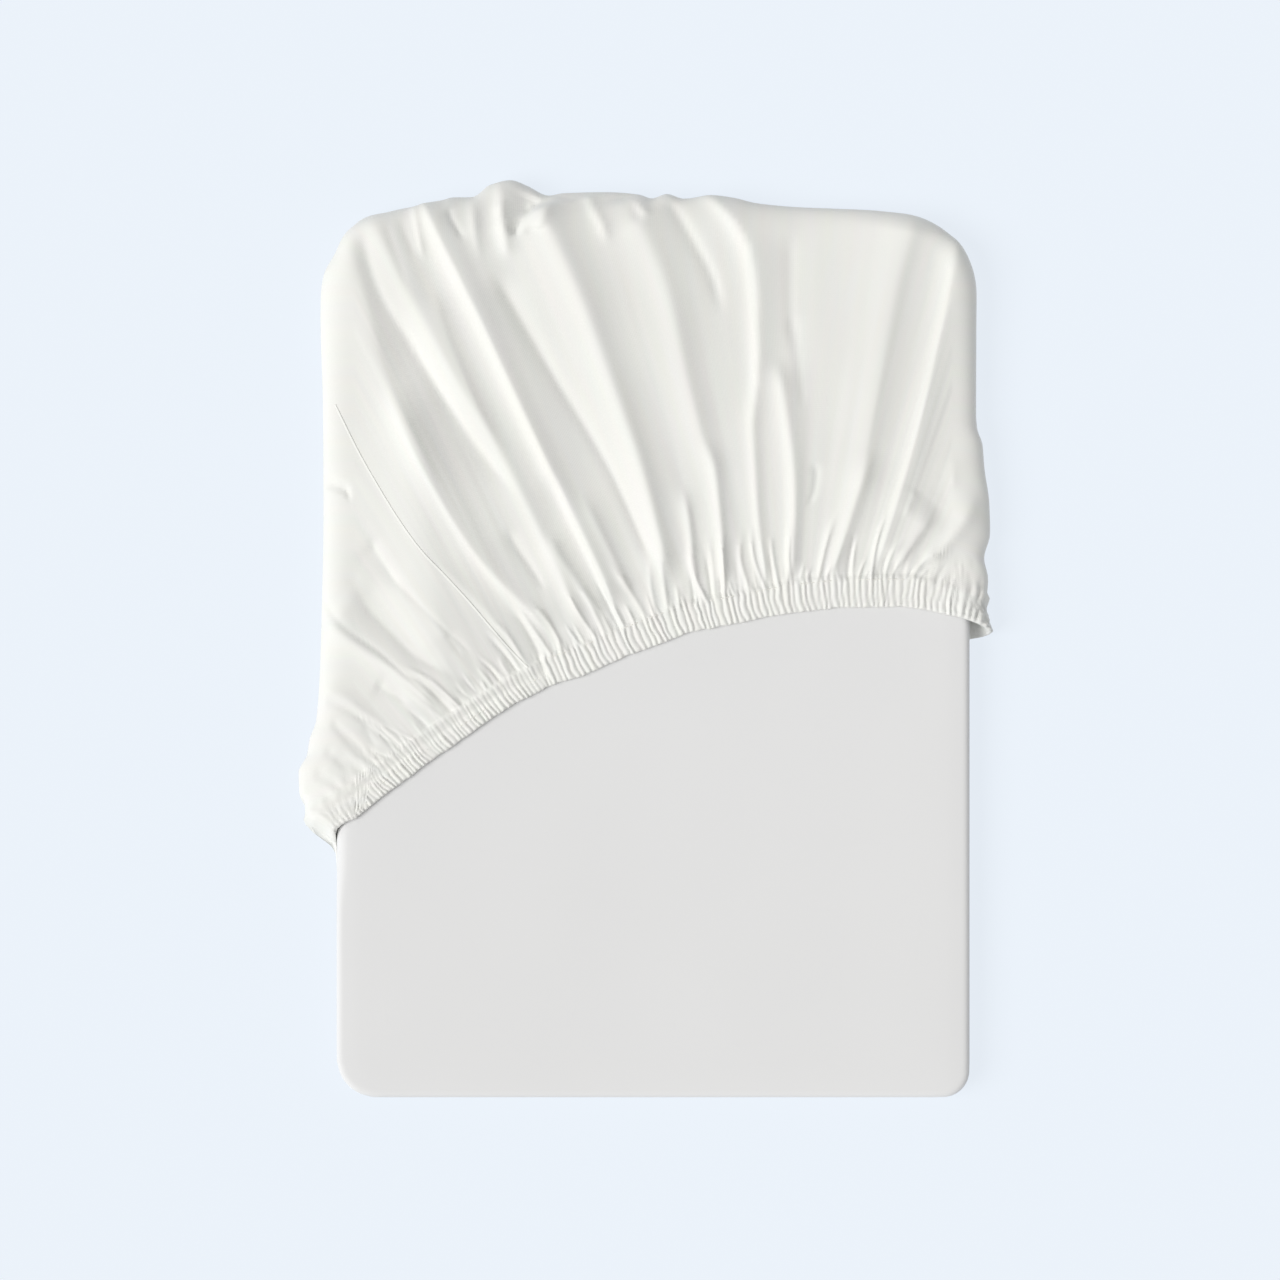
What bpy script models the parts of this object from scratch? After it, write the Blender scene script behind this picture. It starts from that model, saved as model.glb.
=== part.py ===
"""A white fitted sheet, pulled like a pocket over the head end of a thin grey mattress pad.

The pad lies flat on its back. +X is to its right, +Y points to its head end and +Z is up.
The origin lies under the middle of the pad, on the surface that the sheet's back rests on.

The sheet is one closed solid, a loft. Each of its columns starts at the gathered elastic
hem on the front, runs up over the front in folds, rounds the pad's edge and comes back
flat underneath, to the hem on the back. The first and the last column are the stretches
where the hem itself crosses the pad's sides. Tables are in millimetres.
"""
import math

import bmesh
import bpy
import numpy as np

MM = 0.001

# ---- The mattress pad -------------------------------------------------------------
PAD_WIDTH = 300.0
PAD_LENGTH = 416.0
PAD_THICKNESS = 14.0
PAD_EDGE_RADIUS = 5.5
HEAD_CORNER_RADIUS = 36.0
FOOT_LEFT_RADIUS = 19.0
FOOT_RIGHT_RADIUS = 13.0
GAP = 0.5                   # between the pad and the cloth under it

# ---- The cloth --------------------------------------------------------------------
CLOTH = 1.2                 # thickness of the cloth, as one layer
FRONT_REST = 0.5            # the front layer's inner side above the pad
LOFT = 1.6                  # how far the slack front stands off that level between folds
LOFT_BEGUN = 0.05           # the loft grows from the hem up, and has begun at its edge
DOME = 3.0                  # and how much further it balloons in the middle of the front
DOME_FROM_HEM, DOME_FROM_EDGE = 70.0, 60.0      # lengths over which that fades out
SHOULDER = 9.0              # where the cloth starts to round the edge, in from the edge
BACK_CORNER_LOFT = 0.8      # the same round the back corner
SECTION_TIGHT = 3.4         # exponent of the edge's rounding where the cloth is drawn tight
SECTION_SLACK = 2.3         # and where it stands well off the edge
SLACK_FROM, SLACK_TO = 5.0, 16.0

# ---- The elastic hem: a casing that runs round the whole opening --------------------
HEM_WIDTH = 13.0
HEM_EXTRA = 1.1             # what the casing and its elastic add to the cloth's thickness
HEM_BUNCH = 3.6             # the same where the elastic bunches it on the pad's left side
BUNCH_LEVELS = (0.1, 0.35, 0.5, 0.75)       # how far down that side it swells and thins out
RIBS_FRONT = 104            # crests along the front hem
RIB_HEIGHT = 0.8
RIB_FADE = 8.0              # how far the ribs run on into the cloth above the casing
CASING_SLOPE = 3.5          # the casing's thickness dies away over this length,
CASING_SLOPE_INSIDE = 2.5   # of which so much lies inside its width
HEM_EDGE_SHARE = 0.35       # share of the casing's thickness at the very edge
HEM_EDGE_ROUNDING = 2.5     # and how far in it is at its full thickness

# The front hem's edge, left to right (x, y). It starts and ends where it turns to the sides.
FRONT_HEM = (
    (-130, -67), (-120, -59.5), (-98, -43.5), (-74, -27), (-52, -14.5), (-32, -7.5),
    (-6, 3.5), (18, 12), (42, 17), (66, 21.5), (90, 24), (114, 24.5), (129, 23),
)
# The back hem's edge, left to right (x, y).
BACK_HEM = ((-129, -108), (-90, -80), (-45, -50), (0, -30), (45, -14), (90, -1), (129, 7))

# Places along the pad's edge are measured from a point on its left side, up that side,
# across the head end and down the right side.
EDGE_START_Y = -120.0
# Where the hem crosses the sides: on the front, at the rim, half way down, on the back.
LEFT_CROSSING = (44.0, 34.0, 17.0, 5.0)
RIGHT_CROSSING = (785.0, 787.5, 793.0, 797.0)
CROSSING_DOWNS = (0.0, 0.12, 0.5, 1.0)
CROSSING_REACH = 0.15       # share of the columns that lean towards those crossings

# How the columns fan out: share of the front hem's length, place along the pad's edge.
FAN = (
    (0.0, 44), (0.06, 84), (0.13, 128), (0.20, 168), (0.26, 208), (0.30, 245), (0.33, 275),
    (0.355, 297), (0.38, 316), (0.405, 334), (0.43, 347), (0.47, 358), (0.52, 372),
    (0.56, 388), (0.60, 408), (0.65, 432), (0.70, 464), (0.74, 494), (0.78, 532),
    (0.80, 554), (0.82, 574), (0.84, 590), (0.86, 606), (0.88, 624), (0.90, 650),
    (0.92, 688), (0.94, 706), (0.96, 728), (0.98, 755), (1.0, 785),
)

# How far the cloth stands out past the pad's edge: place along the edge, stand-off.
# It balloons above the hem on the left, bunches at the head end and bulges on the right.
OUTLINE = (
    (17, 3.2), (26, 3.4), (32, 5), (38, 6.6), (40, 8), (44, 15), (52, 15.4), (55, 17.8),
    (66, 18.2), (69, 16.8), (73, 14.4), (81, 13), (90, 9.8), (124, 7.6), (195, 6.2),
    (240, 6.6), (282, 7.6), (300, 7), (310, 5.2),
    (318, 6.5), (326, 7.6), (340, 5.2), (352, 6.5), (362, 8.5), (368, 10.3), (377, 10.3),
    (385, 16.5), (395, 18.9), (403, 16), (413, 11.5), (420, 12.7), (440, 13.2), (456, 12),
    (462, 10), (469, 12.3), (477, 10), (490, 11.3), (500, 10.3), (512, 7.6), (530, 6),
    (565, 4.6), (582, 3.2), (690, 3.2), (697, 3.8), (704, 6.2), (716, 7.2), (732, 9.5),
    (746, 9.9), (758, 7), (768, 9), (775, 8.4), (781, 6.6), (787, 7.6), (793, 10.2),
)

# The front's folds. Each crest runs from its first point to its last and bends through the
# two between them (x, y). Then its height, its half-widths on the left and on the right,
# and the lengths over which it rises from its first point and dies away to its last.
FOLDS = (
    # name          first        second       third       last        high  left right rise fall
    ("left roll", (-148, 207), (-137, 172), (-128, 138), (-98, 72), 3.6, 18, 12, 6, 44),
    ("left valley", (-139, 204), (-128, 170), (-113, 146), (-88, 106), -1.9, 7, 5, 10, 26),
    ("low valley", (-123, 166), (-105, 134), (-90, 110), (-63, 74), -2.5, 12, 5, 24, 26),
    ("low shoulder", (-105, 176), (-95, 146), (-85, 123), (-68, 92), 1.0, 10, 4, 14, 26),
    ("left swell", (-114, 130), (-110, 75), (-103, 20), (-95, -30), 4.6, 38, 30, 50, 26),
    ("left crease", (-127, 131), (-108, 89), (-87, 54), (-47, 11), 3.4, 4, 16, 24, 14),
    ("shoulder", (-135, 212), (-107, 157), (-67, 88), (-31, 13), 3.2, 8, 13, 10, 14),
    ("long crest", (-111, 219), (-82, 161), (-55, 103), (-16, 22), 5.0, 4, 14, 6, 14),
    ("broad valley", (-76, 184), (-52, 142), (-22, 92), (1, 42), -2.0, 5, 6, 16, 14),
    ("broad", (-55, 216), (-30, 160), (-9, 101), (9, 32), 5.4, 12, 13, 6, 18),
    ("middle", (-14, 222), (6, 176), (17, 128), (30, 80), 3.6, 12, 12, 8, 36),
    ("middle foot", (23, 108), (29, 89), (32, 62), (34, 33), 2.6, 4, 5, 20, 10),
    ("hooked", (22, 226), (46, 190), (49, 143), (47, 105), 3.4, 3, 13, 6, 30),
    ("hooked foot", (47, 134), (47, 105), (49, 72), (54, 34), 1.9, 3, 5, 26, 10),
    ("short crest", (58, 143), (62, 121), (66, 90), (66, 37), 2.8, 4, 7, 16, 10),
    ("right broad", (124, 212), (114, 174), (105, 124), (96, 70), 3.4, 18, 11, 12, 36),
    ("right foot", (104, 101), (97, 79), (90.5, 58), (83, 36), 3.0, 6, 6, 20, 10),
    ("right slant", (145, 205), (139, 167), (127, 115), (105, 41), 3.0, 4.5, 13, 10, 14),
    ("right curl", (134, 74), (130, 66), (123, 55), (114, 42), 3.3, 9, 6, 14, 8),
    ("side curl", (156, 78), (149, 68), (141, 57), (127, 43), 3.0, 6, 6, 16, 8),
    ("head groove", (7, 219), (16, 203), (27, 183), (34, 160), -1.7, 5, 2.5, 5, 18),
    ("bunch", (-74, 231), (-72, 219), (-71, 207), (-69, 191), 3.5, 4, 8, 3, 18),
    ("bunch wing", (-83, 226), (-85, 212), (-84, 202), (-81, 186), 2.0, 4, 5, 3, 18),
    ("corner seam", (-106, 50), (-88, 32), (-71, 14), (-55, -10), 0.9, 4, 6, 20, 6),
    ("hollow", (-147, 46), (-131, 20), (-115, 4), (-86, -12), -2.2, 6, 12, 30, 24),
    ("low crease", (-157, 19), (-138, 5), (-118, -8), (-101, -23), 2.7, 6, 9, 8, 10),
    ("crest's foot", (-35, 80), (-27, 64), (-18, 46), (-9, 28), 1.3, 6, 4, 16, 10),
    ("shoulder's foot", (-50, 60), (-44, 48), (-33, 33), (-23, 19), 1.4, 4, 4, 10, 8),
    ("middle pleat", (14, 84), (16.5, 68), (18.5, 52), (21, 34), 1.7, 3, 3, 16, 8),
    ("last crease", (-158, -13), (-144, -20), (-130, -31), (-119, -41), 1.2, 6, 4, 6, 8),
)
CREST_SHARPNESS = 1.35      # a fold's section falls to about a third at its reach
CREST_ROUNDING = 0.25       # of the crest, as a share of the reach
LEAST_ROUNDING = 1.5
WIDE_AT_FIRST, WIDE_AT_LAST = 1.25, 0.55        # a fold narrows toward the gathered hem
HIGH_AT_FIRST, HIGH_AT_LAST = 1.3, 0.85         # and gets lower
SIDE_SHARE = 0.15           # share of a fold's height that is left half way down the side
SIDE_FADE = 0.25            # and how much further down it is gone

# ---- How finely the loft is cut ------------------------------------------------------
HEM_ROWS = (0.0, 2.5, 10.5, 14.0, 19.0)     # distances from the hem's edge, with the ribs
INNER_HEM_ROWS = (0.0, 10.5)
HEM_SQUEEZE_LENGTH = 60.0   # on columns shorter than this the hem's rows draw together
COLUMNS = 80                # above the ribs, which have two columns each
FRONT_STEPS = 13
EDGE_STEPS = 8
BACK_STEPS = 3
CORNER_SEGMENTS, RIM_SEGMENTS = 9, 4

# ---- Colours, in linear light, and roughness --------------------------------------------
COTTON_COLOUR, COTTON_ROUGHNESS = (0.84, 0.83, 0.79), 0.8
PAD_COLOUR, PAD_ROUGHNESS = (0.74, 0.74, 0.74), 0.9


def smooth(t):
    """0 below 0, 1 above 1, and an even S between them."""
    t = np.clip(t, 0.0, 1.0)
    return t * t * (3.0 - 2.0 * t)


def curve_through(xs, ys, at):
    """A smooth curve through (xs, ys) that never overshoots them, read off at `at`."""
    xs, ys, at = (np.asarray(v, float) for v in (xs, ys, at))
    steps = np.diff(ys) / np.diff(xs)
    before, after = steps[:-1], steps[1:]
    same_way = before * after > 0
    total = np.where(same_way, before + after, 1.0)
    middle = np.where(same_way, 2 * before * after / total, 0.0)
    slopes = np.concatenate([steps[:1], middle, steps[-1:]])
    i = np.clip(np.searchsorted(xs, at) - 1, 0, len(xs) - 2)
    span = xs[i + 1] - xs[i]
    t = (at - xs[i]) / span
    rise = (2 * t**3 - 3 * t**2 + 1) * ys[i] + (3 * t**2 - 2 * t**3) * ys[i + 1]
    return rise + span * ((t**3 - 2 * t**2 + t) * slopes[i] + (t**3 - t**2) * slopes[i + 1])


def along_line(points, share):
    """Points on a smooth line through `points`, at shares of its length."""
    points = np.array(points, float)
    lengths = np.hypot(*np.diff(points, axis=0).T)
    places = np.concatenate([[0.0], np.cumsum(lengths)])
    at = np.asarray(share) * places[-1]
    return np.stack([curve_through(places, points[:, k], at) for k in (0, 1)], axis=-1)


def edge_place(along):
    """Point on the pad's edge seen from above, and the outward direction there."""
    along = np.asarray(along, float)
    half_width, half_length, radius = PAD_WIDTH / 2, PAD_LENGTH / 2, HEAD_CORNER_RADIUS
    side = half_length - radius - EDGE_START_Y
    quarter = radius * math.pi / 2
    head = PAD_WIDTH - 2 * radius
    ends = np.cumsum([side, quarter, head, quarter])
    turn_left = np.clip((along - ends[0]) / quarter, 0, 1)
    turn_right = np.clip((along - ends[2]) / quarter, 0, 1)
    angle = math.pi - (turn_left + turn_right) * math.pi / 2
    normal = np.stack([np.cos(angle), np.sin(angle)], axis=-1)
    centre_x = radius - half_width + np.clip(along - ends[1], 0, head)
    climb = np.minimum(along - ends[0], 0)
    descent = np.maximum(along - ends[3], 0)
    centre_y = half_length - radius + climb - descent
    return np.stack([centre_x, centre_y], axis=-1) + radius * normal, normal


def crossing(u, down):
    """How far a column leans along the edge, `down` from 0 on the front to 1 on the back."""
    lean = np.zeros(np.broadcast(u, down).shape)
    for places, start in ((LEFT_CROSSING, 0.0), (RIGHT_CROSSING, 1.0)):
        near = 1.0 - smooth(np.abs(u - start) / CROSSING_REACH)
        shift = curve_through(CROSSING_DOWNS, np.array(places) - places[0], down)
        lean = lean + near * shift
    return lean


def place_on_edge(u, down):
    shares, places = zip(*FAN)
    return np.interp(u, shares, places) + crossing(u, down)


def stand_off(u):
    """How far the cloth's inner side stands out past the pad's edge, at its widest."""
    places, distances = zip(*OUTLINE)
    return curve_through(places, distances, place_on_edge(u, np.full(np.shape(u), 0.5))) - CLOTH


FRONT_LEVEL = CLOTH + GAP + PAD_THICKNESS + FRONT_REST
BACK_LEVEL = CLOTH
MID_LEVEL = (FRONT_LEVEL + BACK_LEVEL) / 2


def flat_points(start, end, distance, level, up):
    """Inner points on a flat layer, `distance` along the lines from `start` to `end`."""
    way = end - start
    length = np.hypot(*way.T)
    spot = start + way * (distance / length)[:, None]
    base = np.column_stack([spot, np.full(len(spot), level)])
    normal = np.tile((0.0, 0.0, up), (len(spot), 1))
    return base, normal, spot


def front_ends(u):
    place, outward = edge_place(place_on_edge(u, np.zeros(len(u))))
    return along_line(FRONT_HEM, u), place - SHOULDER * outward


def back_ends(u):
    place, outward = edge_place(place_on_edge(u, np.ones(len(u))))
    return place - SHOULDER * outward, along_line(BACK_HEM, u)


def edge_points(u, down):
    """Inner points on the rounding, `down` from 0 at the front shoulder to 1 at the back's."""
    place, outward = edge_place(place_on_edge(u, np.full(len(u), down)))
    out = SHOULDER + stand_off(u)
    half_height = (FRONT_LEVEL - BACK_LEVEL) / 2
    slack = smooth((stand_off(u) - SLACK_FROM) / (SLACK_TO - SLACK_FROM))
    power = SECTION_TIGHT + (SECTION_SLACK - SECTION_TIGHT) * slack
    angle = math.pi / 2 - math.pi * down
    c, s = abs(math.cos(angle)), abs(math.sin(angle))
    across = out * c ** (2 / power)
    rise = math.copysign(1.0, angle) * half_height * s ** (2 / power)
    spot = place + outward * (across - SHOULDER)[:, None]
    base = np.column_stack([spot, MID_LEVEL + rise])
    lean_out = (across / out) ** (power - 1) / out
    lean_up = np.sign(rise) * (np.abs(rise) / half_height) ** (power - 1) / half_height
    size = np.hypot(lean_out, lean_up)
    normal = np.column_stack([outward * (lean_out / size)[:, None], lean_up / size])
    unrolled = across + np.abs(half_height - rise)
    return base, normal, place + outward * (unrolled - SHOULDER)[:, None]


def fold_height(spots):
    """Sum of the folds' heights at places on the unrolled front (x, y)."""
    total = np.zeros(len(spots))
    for _, first, second, third, last, high, left, right, rise, fall in FOLDS:
        first = np.array(first, float)
        chord = np.array(last, float) - first
        length = math.hypot(*chord)
        ahead = chord / length
        rightward = np.array((-ahead[1], ahead[0]))
        bends = [(np.array(p) - first) @ rightward for p in (second, third)]
        shares = [(np.array(p) - first) @ ahead / length for p in (second, third)]
        t = (spots - first) @ ahead / length
        sideways = curve_through([0.0, *shares, 1.0], [0.0, *bends, 0.0], np.clip(t, 0, 1))
        across = (spots - first) @ rightward - sideways
        part = np.clip(t, 0, 1)
        width = np.where(across < 0, left, right)
        width = width * (WIDE_AT_FIRST + (WIDE_AT_LAST - WIDE_AT_FIRST) * part)
        tall = high * (HIGH_AT_FIRST + (HIGH_AT_LAST - HIGH_AT_FIRST) * part)
        rounding = np.maximum(CREST_ROUNDING * width, LEAST_ROUNDING)
        off_crest = np.hypot(across, rounding) - rounding
        profile = np.exp(-CREST_SHARPNESS * off_crest / width)
        total += tall * profile * smooth(t * length / rise) * smooth((1 - t) * length / fall)
    return total


def layer_row(u, base_normal_spot, loft, share):
    """One row of the cloth: its inner points, the direction outward and the unrolled places."""
    base, normal, spot = base_normal_spot
    lift = loft + share * fold_height(spot)
    return base + normal * lift[:, None], normal, spot


def front_row(u, hem_distance, share_up):
    """A row on the front, measured from the hem for the casing and by share above it."""
    start, end = front_ends(u)
    length = np.hypot(*(end - start).T)
    squeeze = np.minimum(1.0, length / HEM_SQUEEZE_LENGTH)
    from_hem = hem_distance * squeeze
    distance = from_hem + share_up * (length - from_hem)
    points = flat_points(start, end, distance, FRONT_LEVEL, 1.0)
    spot = points[2]
    across = 1.0 - (spot[:, 0] / (PAD_WIDTH / 2)) ** 2
    fade = smooth(distance / DOME_FROM_HEM) * smooth((length - distance) / DOME_FROM_EDGE)
    loft = LOFT * smooth(distance / HEM_SQUEEZE_LENGTH + LOFT_BEGUN) + DOME * across * fade
    return (*layer_row(u, points, loft, np.ones(len(u))), squeeze)


def edge_row(u, down):
    start, end = front_ends(u)
    length = np.hypot(*(end - start).T)
    front_loft = LOFT * smooth(length / HEM_SQUEEZE_LENGTH + LOFT_BEGUN)
    if down < 0.5:
        fade = math.cos(math.pi * down) ** 2
        loft = front_loft * fade
        share = SIDE_SHARE + (1 - SIDE_SHARE) * fade
    else:
        loft = np.full(len(u), BACK_CORNER_LOFT * math.sin(2 * math.pi * down) ** 4)
        share = SIDE_SHARE * (1 - float(smooth((down - 0.5) / SIDE_FADE)))
    return layer_row(u, edge_points(u, down), loft, np.full(len(u), share))


def back_row(u, share_in):
    start, end = back_ends(u)
    distance = share_in * np.hypot(*(end - start).T)
    points = flat_points(start, end, distance, BACK_LEVEL, -1.0)
    return layer_row(u, points, 0.0, np.zeros(len(u)))


def casing_share(distance):
    """1 on the casing and 0 beyond it, by distance from the hem's edge."""
    return 1.0 - smooth((distance - HEM_WIDTH + CASING_SLOPE_INSIDE) / CASING_SLOPE)


def casing_lift(columns, hem_distance, squeeze):
    """What the casing and its ribs add to the outer side: every second column is a crest."""
    edge = HEM_EDGE_SHARE + (1.0 - HEM_EDGE_SHARE) * smooth(hem_distance / HEM_EDGE_ROUNDING)
    ribs = 1.0 - smooth((hem_distance - HEM_WIDTH) / RIB_FADE)
    crest = (np.arange(columns) % 2 == 0) * RIB_HEIGHT * ribs
    return (HEM_EXTRA * casing_share(hem_distance) + crest) * edge * squeeze


def side_casing(spot, down):
    """What the casing adds where it crosses the pad's sides, by distance from the hem there."""
    swell = smooth((down - BUNCH_LEVELS[0]) / (BUNCH_LEVELS[1] - BUNCH_LEVELS[0]))
    flat = 1.0 - smooth((down - BUNCH_LEVELS[2]) / (BUNCH_LEVELS[3] - BUNCH_LEVELS[2]))
    left = (HEM_EXTRA + (HEM_BUNCH - HEM_EXTRA) * swell) * flat
    lift = np.zeros(len(spot))
    for hem_point, extra in ((spot[0], left), (spot[-1], HEM_EXTRA * flat)):
        lift += extra * casing_share(np.hypot(*(spot - hem_point).T))
    return lift


def sheet_rows():
    """Rows of points of the outer side and of the inner side, front hem to back hem."""
    coarse = np.linspace(0.0, 1.0, COLUMNS + 1)
    fine = np.linspace(0.0, 1.0, 2 * RIBS_FRONT + 1)
    outer, inner = [], []
    for hem_distance in HEM_ROWS:
        points, normal, spot, squeeze = front_row(fine, hem_distance, 0.0)
        front_casing = casing_lift(len(fine), hem_distance, squeeze)
        lift = CLOTH + np.maximum(front_casing, side_casing(spot, 0.0))
        outer.append(points + normal * lift[:, None])
    for hem_distance in INNER_HEM_ROWS:
        inner.append(front_row(coarse, hem_distance, 0.0)[0])
    inner.append(front_row(fine, HEM_ROWS[-1], 0.0)[0])
    shared = []
    for step in range(1, FRONT_STEPS + 1):
        shared.append((0.0, *front_row(coarse, HEM_ROWS[-1], step / FRONT_STEPS)[:3]))
    for step in range(1, EDGE_STEPS):
        shared.append((step / EDGE_STEPS, *edge_row(coarse, step / EDGE_STEPS)))
    for step in range(BACK_STEPS + 1):
        shared.append((1.0, *back_row(coarse, step / BACK_STEPS)))
    for down, points, normal, spot in shared:
        inner.append(points)
        outer.append(points + normal * (CLOTH + side_casing(spot, down))[:, None])
    return outer, inner


def stitch(mesh, row, other):
    """Faces between two rows of points, which may have different numbers of them."""
    i, j = 0, 0
    steps, other_steps = len(row) - 1, len(other) - 1
    while i < steps or j < other_steps:
        if steps == other_steps:
            mesh.faces.new((row[i], row[i + 1], other[j + 1], other[j]))
            i, j = i + 1, j + 1
        elif j == other_steps or (i < steps and (i + 1) * other_steps <= (j + 1) * steps):
            mesh.faces.new((row[i], row[i + 1], other[j]))
            i += 1
        else:
            mesh.faces.new((row[i], other[j + 1], other[j]))
            j += 1


def material(name, colour, roughness):
    """A plain Principled material, with its colour in linear light."""
    made = bpy.data.materials.new(name)
    made.use_nodes = True
    shader = made.node_tree.nodes["Principled BSDF"]
    shader.inputs["Base Color"].default_value = (*colour, 1.0)
    shader.inputs["Roughness"].default_value = roughness
    shader.inputs["Metallic"].default_value = 0.0
    return made


def add_object(name, mesh, collection, finish):
    data = bpy.data.meshes.new(name)
    mesh.to_mesh(data)
    mesh.free()
    data.materials.append(finish)
    data.shade_smooth()
    made = bpy.data.objects.new(name, data)
    collection.objects.link(made)
    return made


def make_sheet(collection):
    """The sheet's two sides, joined round the whole hem, as one closed solid."""
    mesh = bmesh.new()
    sides = []
    for rows in sheet_rows():
        sides.append([[mesh.verts.new(point * MM) for point in row] for row in rows])
    outer, inner = sides
    for side in sides:
        for row, following in zip(side, side[1:]):
            stitch(mesh, row, following)
    stitch(mesh, outer[0], inner[0])
    stitch(mesh, outer[-1], inner[-1])
    for column in (0, -1):
        stitch(mesh, [row[column] for row in outer], [row[column] for row in inner])
    bmesh.ops.recalc_face_normals(mesh, faces=mesh.faces)
    finish = material("white cotton", COTTON_COLOUR, COTTON_ROUGHNESS)
    return add_object("sheet", mesh, collection, finish)


def corner_edges(mesh, x_side, y_side):
    """The upright edge of a slab at one of its four corners."""
    found = []
    for edge in mesh.edges:
        a, b = edge.verts
        upright = abs(a.co.z - b.co.z) > MM
        if upright and a.co.x * x_side > 0 and a.co.y * y_side > 0:
            found.append(edge)
    return found


def make_pad(collection):
    """A slab with four rounded corners, then its top and bottom rims rounded."""
    mesh = bmesh.new()
    bmesh.ops.create_cube(mesh, size=1.0)
    size = np.array((PAD_WIDTH, PAD_LENGTH, PAD_THICKNESS)) * MM
    bmesh.ops.scale(mesh, vec=size, verts=mesh.verts)
    level = (CLOTH + GAP + PAD_THICKNESS / 2) * MM
    corners = (
        (-1, 1, HEAD_CORNER_RADIUS), (1, 1, HEAD_CORNER_RADIUS),
        (-1, -1, FOOT_LEFT_RADIUS), (1, -1, FOOT_RIGHT_RADIUS),
    )
    for x_side, y_side, radius in corners:
        edges = corner_edges(mesh, x_side, y_side)
        bmesh.ops.bevel(mesh, geom=edges, offset=radius * MM, segments=CORNER_SEGMENTS,
                        profile=0.5, affect="EDGES", clamp_overlap=False)
    rims = [edge for edge in mesh.edges if abs(edge.verts[0].co.z - edge.verts[1].co.z) < MM / 2]
    bmesh.ops.bevel(mesh, geom=rims, offset=PAD_EDGE_RADIUS * MM, segments=RIM_SEGMENTS,
                    profile=0.5, affect="EDGES", clamp_overlap=False)
    bmesh.ops.translate(mesh, vec=(0.0, 0.0, level), verts=mesh.verts)
    finish = material("grey pad cover", PAD_COLOUR, PAD_ROUGHNESS)
    return add_object("mattress_pad", mesh, collection, finish)


def main():
    for old in list(bpy.data.objects):
        bpy.data.objects.remove(old)
    collection = bpy.data.collections.new("fitted sheet on a mattress pad")
    bpy.context.scene.collection.children.link(collection)
    make_pad(collection)
    make_sheet(collection)


main()
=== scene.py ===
# %% [markdown]
# # A fitted sheet pulled over a mattress pad
# A white cotton sheet with an elastic hem sits like a pocket on the head end of a thin
# grey pad, seen from straight above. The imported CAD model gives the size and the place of
# everything. This script dresses it: a finer cloth on the same folds, a softer pad, the
# sewing, the materials, the light and the camera. Lengths are in millimetres until the
# last moment, because a sewer thinks in millimetres, and MM turns them into metres.

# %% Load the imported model
import math

import bpy
import numpy as np
from mathutils.bvhtree import BVHTree
from mathutils.kdtree import KDTree
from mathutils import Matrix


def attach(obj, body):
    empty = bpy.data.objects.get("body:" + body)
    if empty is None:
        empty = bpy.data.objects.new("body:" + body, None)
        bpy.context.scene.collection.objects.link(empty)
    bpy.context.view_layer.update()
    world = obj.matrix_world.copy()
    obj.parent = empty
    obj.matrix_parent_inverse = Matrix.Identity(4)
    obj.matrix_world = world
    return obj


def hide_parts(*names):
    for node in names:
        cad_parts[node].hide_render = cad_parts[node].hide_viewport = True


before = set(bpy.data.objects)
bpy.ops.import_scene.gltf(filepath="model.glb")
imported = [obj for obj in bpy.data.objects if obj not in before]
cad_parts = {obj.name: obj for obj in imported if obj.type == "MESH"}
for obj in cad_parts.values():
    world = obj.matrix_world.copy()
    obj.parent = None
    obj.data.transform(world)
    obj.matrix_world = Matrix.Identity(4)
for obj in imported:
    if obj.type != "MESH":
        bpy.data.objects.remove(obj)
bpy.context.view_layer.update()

MM = 0.001

# %% [markdown]
# ## The camera
# The photograph looks straight down, so the camera hangs above the pad and looks along -Z,
# with +Y up in the picture. A long lens from far away keeps the pad's sides from showing,
# as the photograph does. The distance follows from the width that the picture takes in.

# %% Camera
VIEW_WIDTH = 605.7          # width of the floor's picture at the pad's top, in mm
VIEW_CENTRE = (-6.2, 8.7)
LENS = 135.0
SENSOR = 36.0
PAD_TOP = 15.7              # over the floor, as in the CAD model

distance = VIEW_WIDTH * LENS / SENSOR
eye = bpy.data.cameras.new("overhead camera")
eye.lens, eye.sensor_width = LENS, SENSOR
eye.clip_start, eye.clip_end = 0.05, 20.0
camera = bpy.data.objects.new("overhead camera", eye)
camera.location = (VIEW_CENTRE[0] * MM, VIEW_CENTRE[1] * MM, (PAD_TOP + distance) * MM)
bpy.context.scene.collection.objects.link(camera)
bpy.context.scene.camera = camera
print(f"camera {distance:.0f} mm above the pad")

# %% [markdown]
# ## Small tools for curves and noise
# Soft goods are all slow S-bends, so the same few helpers come back everywhere: an even S
# between 0 and 1, a curve that passes through a table's values without overshooting them,
# and a seeded noise that gives the same unevenness in each run.

# %% Curves
NOISE_CELLS = 256


def smooth(t):
    """An even S from 0 to 1."""
    t = np.clip(t, 0.0, 1.0)
    return t * t * (3.0 - 2.0 * t)


def falling(x, start, length):
    """1 up to the start, then an even S down to 0 over the length."""
    return 1.0 - smooth((x - start) / length)


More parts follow.
